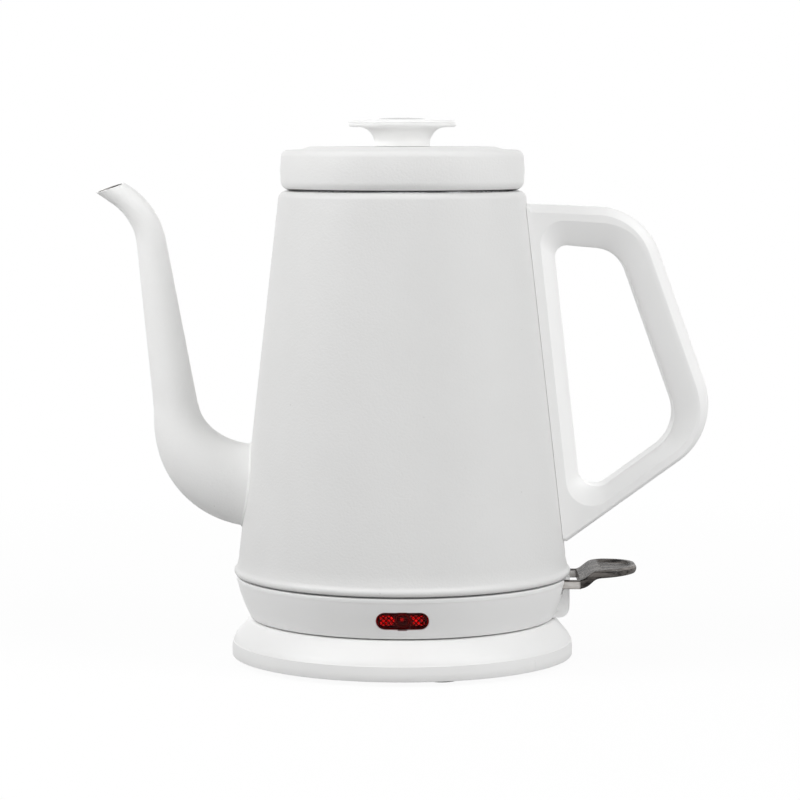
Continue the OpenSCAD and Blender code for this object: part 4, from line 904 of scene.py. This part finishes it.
lens = lens_shell("lamp_lens_clear", lamp_w, lamp_h, [
    (0.0, 0.15), (0.5, 0.15), (0.80, 0.15), (0.93, 0.18), (0.985, 0.32), (1.0, 0.55), (1.0, 1.5),
    (0.985, 1.55), (0.90, 1.55), (0.5, 1.55), (0.0, 1.55)], red_lens_finish)
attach(lens, "kettle")

# The prism plate lies behind the clear front: four-sided points in diagonal rows, left and right.
prism_w, prism_h, prism_front, prism_high, prism_pitch = lamp_w - 0.2, lamp_h - 0.2, 1.7, 0.85, 1.5
plain_half, prism_out, prism_tall = 3.0, 8.9, 2.15
points, faces = [], []
columns, rows = 150, 50
half = (prism_w - prism_h) / 2


def prism_rise(x, z):
    """How far the plate stands forward at a place: points of four faces, turned by 45 degrees."""
    u = ((x + z) / prism_pitch / 1.4142) % 1.0
    v = ((x - z) / prism_pitch / 1.4142) % 1.0
    peak = min(1 - abs(2 * u - 1), 1 - abs(2 * v - 1))
    core = max(-half, min(half, x))
    inset = 1 - math.hypot(x - core, z) / (prism_h / 2)
    cluster = smooth_step((abs(x) - plain_half) / 0.4) * smooth_step((prism_out - abs(x)) / 0.4)
    cluster *= smooth_step((prism_tall - abs(z)) / 0.3)
    rim = (1 - smooth_step(inset / 0.10)) * 0.5
    return prism_high * max(peak * cluster, rim)


# Painted light: the plate's colour and its glow are bright on the flanks of the points and dark on their tips
# and the ground between them, where the real prisms catch and lose light. A thin painted glow runs round the
# edge, brighter towards the top, and a faint painted spot and ring of light stand in the middle.
red_deep = Finish("red_prism_moulding_painted_glow")
place = red_deep.place()
x, y, z = (part / mm for part in red_deep.axes(place))
z = z - lamp_z
diagonal = prism_pitch * 1.4142
peak = ((x + z) / diagonal).wave().lowest(((x - z) / diagonal).wave())
patch = red_deep.noise(700.0, 2.0, 0.6, place)
painted_flank_light = ((peak - 0.30) * 6).highest(0).lowest(1) * ((0.86 - peak) * 5).highest(0.12).lowest(1)
painted_flank_light = painted_flank_light * ((patch - 0.40) * 6).highest(0.08).lowest(1)
inside = ((x.size() - plain_half) * 3).highest(0).lowest(1)
inside = inside * ((prism_out - x.size()) * 3).highest(0).lowest(1)
inside = inside * ((prism_tall - z.size()) * 4).highest(0).lowest(1)
out = (x.size() - half).highest(0)
edge = (((out * out + z * z) ** 0.5 - (prism_h / 2 - 0.55)) * 4).highest(0).lowest(1)
dot = (0.95 - ((x + 0.1) * (x + 0.1) + (z - 0.55) * (z - 0.55)) ** 0.5).highest(0).lowest(1) * patch * 0.9
from_middle = (x * x + z * z) ** 0.5
ring = (1 - ((from_middle - 2.6) * 2.5).size()).highest(0) * 0.05
painted_glow = (painted_flank_light * inside).highest(edge * ((z + 2.6) * 0.12).highest(0.03)).highest(dot).highest(ring)
red_prism_painted_glow_finish = red_deep.surface(
    red_deep.tint(painted_glow, (0.018, 0.0, 0.0), (0.95, 0.001, 0.001)), patch * 0.06 + 0.25,
    Specular_IOR_Level=0.1, Emission_Color=red_deep.tint(painted_glow, (0.0, 0.0, 0.0), (0.9, 0.0, 0.0)),
    Emission_Strength=0.55,
)


for i in range(rows + 1):
    for j in range(columns + 1):
        z = prism_h / 2 * math.sin(math.pi / 2 * (2 * i / rows - 1))
        reach = half + math.sqrt(max(0.0, (prism_h / 2) ** 2 - z * z))
        x = reach * (2 * j / columns - 1)
        points.append(on_collar(x, lamp_z + z, prism_front + prism_high - prism_rise(x, z)))
front_count = len(points)
for i in range(rows + 1):
    for j in range(columns + 1):
        x, y, z = points[i * (columns + 1) + j]
        points.append((x, -math.sqrt(collar_r(z, 3.1) ** 2 - x * x), z))
for i in range(rows):
    for j in range(columns):
        a, b = i * (columns + 1) + j, (i + 1) * (columns + 1) + j
        faces.append((a, a + 1, b + 1, b))
        faces.append((front_count + a, front_count + b, front_count + b + 1, front_count + a + 1))
for i in range(rows):
    for j in (0, columns):
        a, b = i * (columns + 1) + j, (i + 1) * (columns + 1) + j
        faces.append((a, b, front_count + b, front_count + a))
for j in range(columns):
    for i in (0, rows):
        a = i * (columns + 1) + j
        faces.append((a, a + 1, front_count + a + 1, front_count + a))
prisms = mesh_piece("lamp_prisms", points, faces, red_prism_painted_glow_finish, 14)
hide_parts("lamp_lens")
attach(prisms, "kettle")
dress(moulded("circuit_board", (0.055, 0.17, 0.075), 0.35, 0.18, 1600.0), "lamp_board")
dress(moulded("red_lead", (0.50, 0.045, 0.035), 0.32, 0.05, 800.0), "lamp_leads")

# ---- Handle ----
# One satin white moulding: a spine beside the wall, a top arm, a leaning grip and a lower arm round the
# finger opening. A rounded band beside the palm ends in a crisp line, and a scoop with a crisp edge falls
# to the finger opening. Two screws through its spine hold it to brackets on the wall.
handle_half = 10.5
palm_widths, palm_depths = (3.2, 3.2, 3.6, 1.5), (3.3, 3.3, 4.1, 1.3)
scoop_falls = (4.5, 4.2, 2.6, 3.8)
scoop_flat = 0.68
scoop_spine, scoop_top, scoop_grip, scoop_arm = 5.6, 10.3, 10.0, 5.6
grip_lean, arm_slope = math.radians(19.7), math.radians(35.9)
top_fall, top_in_fall = math.radians(2.3), math.radians(5.0)
grip_t, arm_t, top_arm_t, spine_t = 15.0, 9.6, 16.6, 8.7
knuckle, knuckle_r = Vector((96.2, 105.25)), 28.5
top_middle = Vector((75.4, 185.65))
wall_gap = 0.15


def crossing(p, a, q, b):
    """Where the line through p at angle a meets the line through q at angle b."""
    d = math.cos(a) * math.sin(b) - math.sin(a) * math.cos(b)
    w = q - p
    return p + Vector((math.cos(a), math.sin(a))) * ((w.x * math.sin(b) - w.y * math.cos(b)) / d)


def turned(a):
    return Vector((math.cos(a), math.sin(a)))


quarter = math.pi / 2
spine_dir = quarter + taper
grip_out = knuckle + knuckle_r * turned(grip_lean)
arm_out = knuckle + knuckle_r * turned(arm_slope - quarter)
grip_in = grip_out - grip_t * turned(grip_lean)
arm_in = arm_out - arm_t * turned(arm_slope - quarter)
spine_in = Vector((wall_r(z_cone) + spine_t / math.cos(taper), z_cone))
spine_out = Vector((wall_r(z_cone) + wall_gap / math.cos(taper), z_cone))
handle_outer = [
    (*crossing(top_middle, -top_fall, spine_out, spine_dir), 0.6),
    (*crossing(top_middle, -top_fall, grip_out, quarter + grip_lean), 27.0),
    (*crossing(grip_out, quarter + grip_lean, arm_out, arm_slope), knuckle_r),
    (*crossing(arm_out, arm_slope, spine_out, spine_dir), 0.6),
]
top_in = top_middle - Vector((0, top_arm_t))
handle_inner = [
    (*crossing(top_in, -top_in_fall, spine_in, spine_dir), 4.5),
    (*crossing(top_in, -top_in_fall, grip_in, quarter + grip_lean), 15.0),
    (*crossing(grip_in, quarter + grip_lean, arm_in, arm_slope), 17.0),
    (*crossing(arm_in, arm_slope, spine_in, spine_dir), 7.5),
]
scoop_spine_at = spine_in - Vector((scoop_spine / math.cos(taper), 0))
scoop_top_at = top_in + Vector((0, scoop_top))
scoop_grip_at = grip_in + scoop_grip * turned(grip_lean)
scoop_arm_at = arm_in + scoop_arm * turned(arm_slope - quarter)
scoop_fall = (top_fall + top_in_fall) / 2
handle_scoop = [
    (*crossing(scoop_top_at, -scoop_fall, scoop_spine_at, spine_dir), 9.5),
    (*crossing(scoop_top_at, -scoop_fall, scoop_grip_at, quarter + grip_lean), 21.0),
    (*crossing(scoop_grip_at, quarter + grip_lean, scoop_arm_at, arm_slope), 23.0),
    (*crossing(scoop_arm_at, arm_slope, scoop_spine_at, spine_dir), 10.5),
]
corner_steps, straight_steps = 24, 14
outer_line, inner_line = eased(handle_outer, corner_steps), eased(handle_inner, corner_steps)


def straight_shares(c):
    """Where the extra points of a stretch lie. They crowd at the ends of the stretch beside the wall."""
    plain = [i / straight_steps for i in range(1, straight_steps)]
    crowd = [0.005 * i for i in range(1, 9)] if c == 3 else []
    return crowd + plain + [1 - share for share in crowd[::-1]]


def with_straights(line):
    """The outline with extra points along its four straight stretches."""
    full, count = [], corner_steps + 1
    for c in range(4):
        corner = [Vector(p) for p in line[c * count:(c + 1) * count]]
        start = Vector(line[(c + 1) % 4 * count])
        full += corner + [corner[-1].lerp(start, share) for share in straight_shares(c)]
    return full


outer_pts, inner_pts = with_straights(outer_line), with_straights(inner_line)
scoop_pts = with_straights(eased(handle_scoop, corner_steps))
stretch = corner_steps + straight_steps
palm_line = outer_pts[corner_steps // 2:3 * stretch + corner_steps // 2 + 1]


def nearest(p, line):
    """Distance from a point to a chain of points."""
    best = 1e9
    for a, b in zip(line, line[1:]):
        run = b - a
        t = min(1.0, max(0.0, (p - a).dot(run) / max(run.length_squared, 1e-9)))
        best = min(best, (a + run * t - p).length_squared)
    return math.sqrt(best)


def palm_profile(d, width, depth):
    return handle_half - width * (1 - math.sqrt(min(1.0, max(0.0, d / depth))))


def scoop_profile(u, fall):
    return handle_half - fall * (scoop_flat * u + (1 - scoop_flat) * (1 - math.sqrt(1 - u * u)))


def ranged(falls):
    """A measure of the section at each point, which passes over to the next stretch at each corner."""
    full = []
    for c in range(4):
        last, here = falls[c], falls[(c + 1) % 4]
        full += [last + (here - last) * smooth_step(i / corner_steps) for i in range(corner_steps + 1)]
        full += [here] * len(straight_shares(c))
    return full


palm_steps, finger_steps, face_steps = 14, 14, 10
handle_rings = []
band_widths, band_depths = (
    ranged(share)[:3 * stretch] + [share[3]] * (len(outer_pts) - 3 * stretch)
    for share in (palm_widths, palm_depths)
)
for o, edge, i, fall, width, depth in zip(
        outer_pts, scoop_pts, inner_pts, ranged(scoop_falls), band_widths, band_depths):
    palm_end = where(lambda t: nearest(o.lerp(edge, t), palm_line) >= depth, 0.0, 0.96)
    if nearest(o, palm_line) >= depth:
        palm_end = 0.0
    half = []
    for t in [palm_end * (k / palm_steps) ** 2 for k in range(palm_steps + 1)] + [1.0]:
        half.append((o.lerp(edge, t), palm_profile(nearest(o.lerp(edge, t), palm_line), width, depth)))
    for u in [math.sin(quarter * k / finger_steps) for k in range(1, finger_steps + 1)]:
        p = edge.lerp(i, u)
        half.append((p, min(palm_profile(nearest(p, palm_line), width, depth), scoop_profile(u, fall))))
    face_y = half[0][1]
    ring = [(half[0][0], -face_y + 2 * face_y * k / face_steps) for k in range(face_steps)]
    ring += half + [(half[-1][0], half[-1][1] * s) for s in (0.5, 0, -0.5)]
    ring += [(p, -y) for p, y in half[:0:-1]]
    on_wall = (o - Vector((wall_r(o.y), o.y))).length < 0.6
    handle_rings.append([
        Vector((
            math.sqrt(wall_in(p.y, -wall_gap) ** 2 - y * y) if on_wall and (p - o).length < 0.01 else p.x,
            y, p.y))
        for p, y in ring])
handle = mesh_piece("handle_moulding", *stitched(handle_rings),
                    satin_white("satin_white_handle", (0.94, 0.94, 0.935), 0.36), 11)
screw_heights = (88.85, 150.85)
cap_r, cap_start = 4.25, 5.8


def off_wall(z, out):
    """A point square off the wall in front of a screw."""
    return (wall_r(z) + out * math.cos(taper), 0, z + out * math.sin(taper))


sockets = [rod(off_wall(z, cap_start), off_wall(z, cap_start + 20), cap_r) for z in screw_heights]
sockets += [rod(off_wall(z, -3), off_wall(z, 20), 2.2) for z in screw_heights]
sockets += [rod(off_wall(z, -3), off_wall(z, 4.7), 4.25) for z in screw_heights]
shape_with(handle, "DIFFERENCE", sockets, 11)
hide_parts("handle")
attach(handle, "kettle")
dress(zinc, "handle_brackets", "handle_screws")
dress(moulded("cap_white", (0.94, 0.94, 0.935), 0.36, 0.01), "screw_caps")

# ---- Switch lever ----
# A smoked clear moulding: a dished paddle under the handle, on two arms that reach through notches in the
# collar to a steel pin. A bar and a nose behind the pin work the rocker.
neck_x, tongue_x, tip_x = 73.4, 80.6, 96.4
lever_edge_r, dish_depth, dish_rim = 1.15, 0.9, 2.2
arm_low, arm_high = lever_z - lever_arm_h / 2, lever_z + lever_arm_h / 2
lever_under = [
    (58, arm_low), (neck_x - 0.8, arm_low), (neck_x + 1.2, arm_low + 0.5), (neck_x + 3.0, arm_low + 1.7),
    (neck_x + 5.0, 34.2), (neck_x + 7.0, 34.8), (tip_x - 1, 35.6), (tip_x - 0.25, 36.3), (tip_x, 37.1),
]
lever_over = [
    (58, arm_high), (neck_x - 1.2, arm_high), (neck_x + 0.4, arm_high + 0.5), (neck_x + 4.0, 37.4),
    (neck_x + 5.8, 38.0), (neck_x + 9, 38.3), (tip_x - 1, 38.8), (tip_x - 0.3, 38.1), (tip_x, 37.1),
]


def along(line, x):
    """Height of a chain of points at x, with its corners eased."""
    def plain(at):
        for (x0, z0), (x1, z1) in zip(line, line[1:]):
            if at <= x1:
                return z0 + (z1 - z0) * (at - x0) / (x1 - x0)
        return line[-1][1]
    spread = min(1.0, max(0.0, tip_x - x) * 0.5)
    return sum(plain(x + spread * k / 4) for k in range(-4, 5)) / 9


def paddle_half(x, inset=0.0):
    reach = tip_x - tongue_x - inset
    t = min(1.0, max(0.0, (x - tongue_x) / reach))
    return (lever_w / 2 - inset) * math.sqrt(1 - t * t)


lever_rings = []
stations = [neck_x - 0.9 + (tongue_x - neck_x + 0.9) * i / 26 for i in range(27)]
stations += [tongue_x + (tip_x - tongue_x) * math.sin(quarter * i / 34) for i in range(1, 34)]
for x in stations:
    w, low, high = paddle_half(x), along(lever_under, x), along(lever_over, x)
    r = min(lever_edge_r, w * 0.8, (high - low) * 0.45)
    ring = [(-(w - r) + 2 * (w - r) * k / 10, low) for k in range(10)]
    ring += [(w - r + px, low + r + pz) for px, pz in arc(0, 0, r, -90, 0, 6)]
    ring += [(w - r + px, high - r + pz) for px, pz in arc(0, 0, r, 0, 90, 6)]
    for k in range(1, 40):
        y = (w - r) * (1 - 2 * k / 40)
        inner = paddle_half(x, dish_rim)
        edge = min(inner - abs(y), x - (neck_x + 7.2), (tip_x - dish_rim - x) * 1.2)
        ring.append((y, high - dish_depth * smooth_step(edge / 1.5) if edge > 0 else high))
    ring += [(-(w - r) - px, high - r + pz) for px, pz in arc(0, 0, r, 90, 0, 6)]
    ring += [(-(w - r) - px, low + r + pz) for px, pz in arc(0, 0, r, 0, -90, 6)][:-1]
    lever_rings.append([Vector((x, y, z)) for y, z in ring])
sides = len(lever_rings[0])
points = [p for ring in lever_rings for p in ring]
faces = [(i * sides + k, i * sides + (k + 1) % sides, (i + 1) * sides + (k + 1) % sides, (i + 1) * sides + k)
         for i in range(len(lever_rings) - 1) for k in range(sides)]
faces += [tuple(range(sides)), tuple(range((len(lever_rings) - 1) * sides, len(lever_rings) * sides))]

smoked = Finish("smoked_clear_moulding_painted_sheen_and_shade")
place = smoked.place()
x, y, z = (part / mm for part in smoked.axes(place))
streak = smoked.noise(150.0, 4.0, 0.62, smoked.add(
    "ShaderNodeMapping", {"vector_type": "POINT"}, Vector=place, Scale=(0.35, 1.7, 2.4)))
thin = ((neck_x - 0.8 - x) * 1.5).highest(0).lowest(1)
# Painted reflections: stretched streaks of lighter colour stand in for the streaky glints in the clear
# moulding.
painted_streak_sheen = ((streak - 0.40) * 4.5).highest(0).lowest(1)
thick = smoked.tint(painted_streak_sheen, (0.010, 0.008, 0.007), (0.23, 0.21, 0.195))
# Painted highlight: a lighter line along the top of the paddle's rounded front edge.
round_tip = ((x - tongue_x) / (tip_x - tongue_x)).highest(0)
from_rim = round_tip * round_tip + y * y / (lever_w / 2) ** 2 - 0.84
painted_edge_highlight = (from_rim * 12).highest(0).lowest(1) * (z > 37.75)
thick = smoked.blend(painted_edge_highlight * (painted_streak_sheen * 0.6 + 0.4), thick, (0.40, 0.37, 0.35, 1))
clear = smoked.tint(painted_streak_sheen, (0.74, 0.70, 0.67), (0.97, 0.96, 0.95))
# Painted shade: the arms turn almost black along their top and bottom edges, where the clear moulding
# refracts dark.
rim = ((z - (arm_high - 0.65)) * 2.6).highest(((arm_low + 0.45) - z) * 2.6).highest(0).lowest(1)
clear = smoked.blend(rim, clear, (0.055, 0.045, 0.040, 1))
smoked_finish = smoked.surface(
    smoked.blend(thin, thick, clear),
    streak * 0.14 + 0.12, Transmission_Weight=0.30, IOR=1.52, Specular_IOR_Level=0.0,
    Normal=smoked.bump(streak, 0.0005),
)
lever = mesh_piece("lever_moulding", points, faces, smoked_finish, 24)
lever_parts = [slab((lever_pin_x - 1, s * arm_y - lever_arm_w / 2, arm_low),
                    (neck_x - 0.4, s * arm_y + lever_arm_w / 2, arm_high), 0.45, smoked_finish)
               for s in (-1, 1)]
lever_parts += [rod((lever_pin_x, s * arm_y - lever_arm_w / 2 + 0.01, lever_pin_z),
                    (lever_pin_x, s * arm_y + lever_arm_w / 2 - 0.01, lever_pin_z), 2.75, smoked_finish)
                for s in (-1, 1)]
lever_parts += [slab((lever_pin_x - 6.4, s * arm_y - lever_arm_w / 2 + 0.02, lever_pin_z - 2.2),
                     (lever_pin_x - 1.0, s * arm_y + lever_arm_w / 2 - 0.02, lever_pin_z + 1.0),
                     0, smoked_finish)
                for s in (-1, 1)]
lever_parts.append(slab((lever_pin_x - 6.4, -lever_w / 2 + 0.03, lever_pin_z - 2.19),
                        (lever_pin_x - 4.2, lever_w / 2 - 0.03, lever_pin_z + 0.99), 0.3, smoked_finish))
nose_x, nose_z = lever_pin_x - 10, lever_pin_z - 1.2
lever_parts.append(slab((nose_x, -2.5, nose_z - 1.6), (lever_pin_x - 5, 2.5, nose_z), 0.3, smoked_finish))
shape_with(lever, "UNION", lever_parts, 24)
pin_bore = rod((lever_pin_x, -lever_w, lever_pin_z), (lever_pin_x, lever_w, lever_pin_z), 1.3)
shape_with(lever, "DIFFERENCE", [pin_bore], 24)
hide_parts("switch_lever")
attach(lever, "lever")
dress(zinc, "lever_pin", "rocker_pin", "rocker_spring")
dress(moulded("ivory_moulding", (0.66, 0.60, 0.47), 0.45, 0.03), "rocker")

# ---- Lid and its pan ----
# A drawn steel lid with a soft lower edge, a nearly straight side, a small step on top and the vessel's
# powder coat, painted lighter here as painted light and near black along its lowest edge as a painted
# shadow of the gap. A bare steel pan under it plugs the mouth.
lid_r, z_lid, z_lid_top, lid_step_r, lid_step_h, lid_t = 49.8, 192.15, 208.55, 40.0, 1.2, 0.7
low_roll, top_roll, lid_hem_r, hem_lift = 3.9, 3.0, 44.2, 0.35


def lid_skin(depth):
    """The outside of the lid moved in by a depth, from its lower edge to its middle."""
    skin = arc(lid_r - 0.2 - low_roll, z_lid + low_roll, low_roll - depth, -90, 0, 16)
    skin += [(lid_r - depth, z_lid + 8.2)]
    skin += arc(lid_r - 0.4 - top_roll, z_lid_top - top_roll, top_roll - depth, 5, 90, 14)
    skin += [(lid_step_r + 2.6 - 5.6 * i / 12, z_lid_top + lid_step_h * smooth_step(i / 12) - depth)
             for i in range(13)]
    return skin + [(20, z_lid_top + lid_step_h - depth)]


lid_bore_r = 2.3
lid = lathe(
    "lid_cover",
    [(lid_hem_r, z_lid + hem_lift), (lid_r - 0.2 - low_roll, z_lid + hem_lift)] + lid_skin(0)[2:]
    + [(lid_bore_r, z_lid_top + lid_step_h), (lid_bore_r, z_lid_top + lid_step_h - lid_t)]
    + lid_skin(lid_t)[::-1] + [(lid_hem_r, z_lid + lid_t)],
    lid_coat_painted_light_and_shadow, 256,
)
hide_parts("lid_shell")
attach(lid, "lid")
dress(metal("pan_steel", (0.60, 0.61, 0.62), 0.28, (0.1, 1, 1), 900.0), "lid_pan")

# ---- Knob ----
# A white disc on a flared neck, in two mouldings that meet on a fine parting line: the grip below and a
# cap pressed into it. A brass insert takes the screw that comes up through the lid and a washer.
z_knob, z_disc, z_parting = 209.85, 217.65, 219.25
neck_r, disc_r, well_r, insert_r = 11.4, 22.05, 9.4, 4.1
flare_r = z_disc - z_knob - 1.3
knob_white = satin_white("smooth_white_knob", (0.96, 0.96, 0.955), 0.30, 0.000003)
knob = lathe(
    "knob_grip",
    [(insert_r, z_knob), (neck_r - 0.15, z_knob), (neck_r, z_knob + 0.15)]
    + arc(neck_r + flare_r, z_disc - flare_r, flare_r, 180, 90, 20)
    + arc(disc_r - 1.3, z_disc + 1.3, 1.3, -90, 0, 10)
    + [(disc_r, z_parting - 0.12), (disc_r - 0.12, z_parting)]
    + [(well_r, z_parting), (well_r, z_parting - 2), (insert_r, z_parting - 2)],
    knob_white,
)
knob_cap = lathe(
    "knob_lid",
    [(0, z_parting - 1.2), (well_r - 0.1, z_parting - 1.2), (well_r - 0.1, z_parting + 0.05),
     (disc_r - 0.15, z_parting + 0.05), (disc_r, z_parting + 0.2)]
    + arc(disc_r - 1, z_parting + 0.3, 1, 5, 90, 10)
    + [(11.2, z_parting + 1.3), (10.6, z_parting + 1.4), (10.0, z_parting + 1.62), (9.2, z_parting + 1.82),
       (7.5, z_parting + 1.99), (5, z_parting + 2.11), (2.5, z_parting + 2.18), (0, z_parting + 2.2)],
    knob_white,
)
knob_cap.data.materials.append(satin_white("grey_knob_disc", (0.50, 0.50, 0.50), 0.34))
grey_r, grey_from = 10.0, z_parting + 1.35
for face in knob_cap.data.polygons:
    if face.center.z > grey_from * mm and math.hypot(face.center.x, face.center.y) < grey_r * mm:
        face.material_index = 1
for piece, node in ((knob, "knob"), (knob_cap, "knob_cap")):
    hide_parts(node)
    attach(piece, "lid")
dress(brass, "knob_insert")
dress(zinc, "knob_screw", "knob_washer")
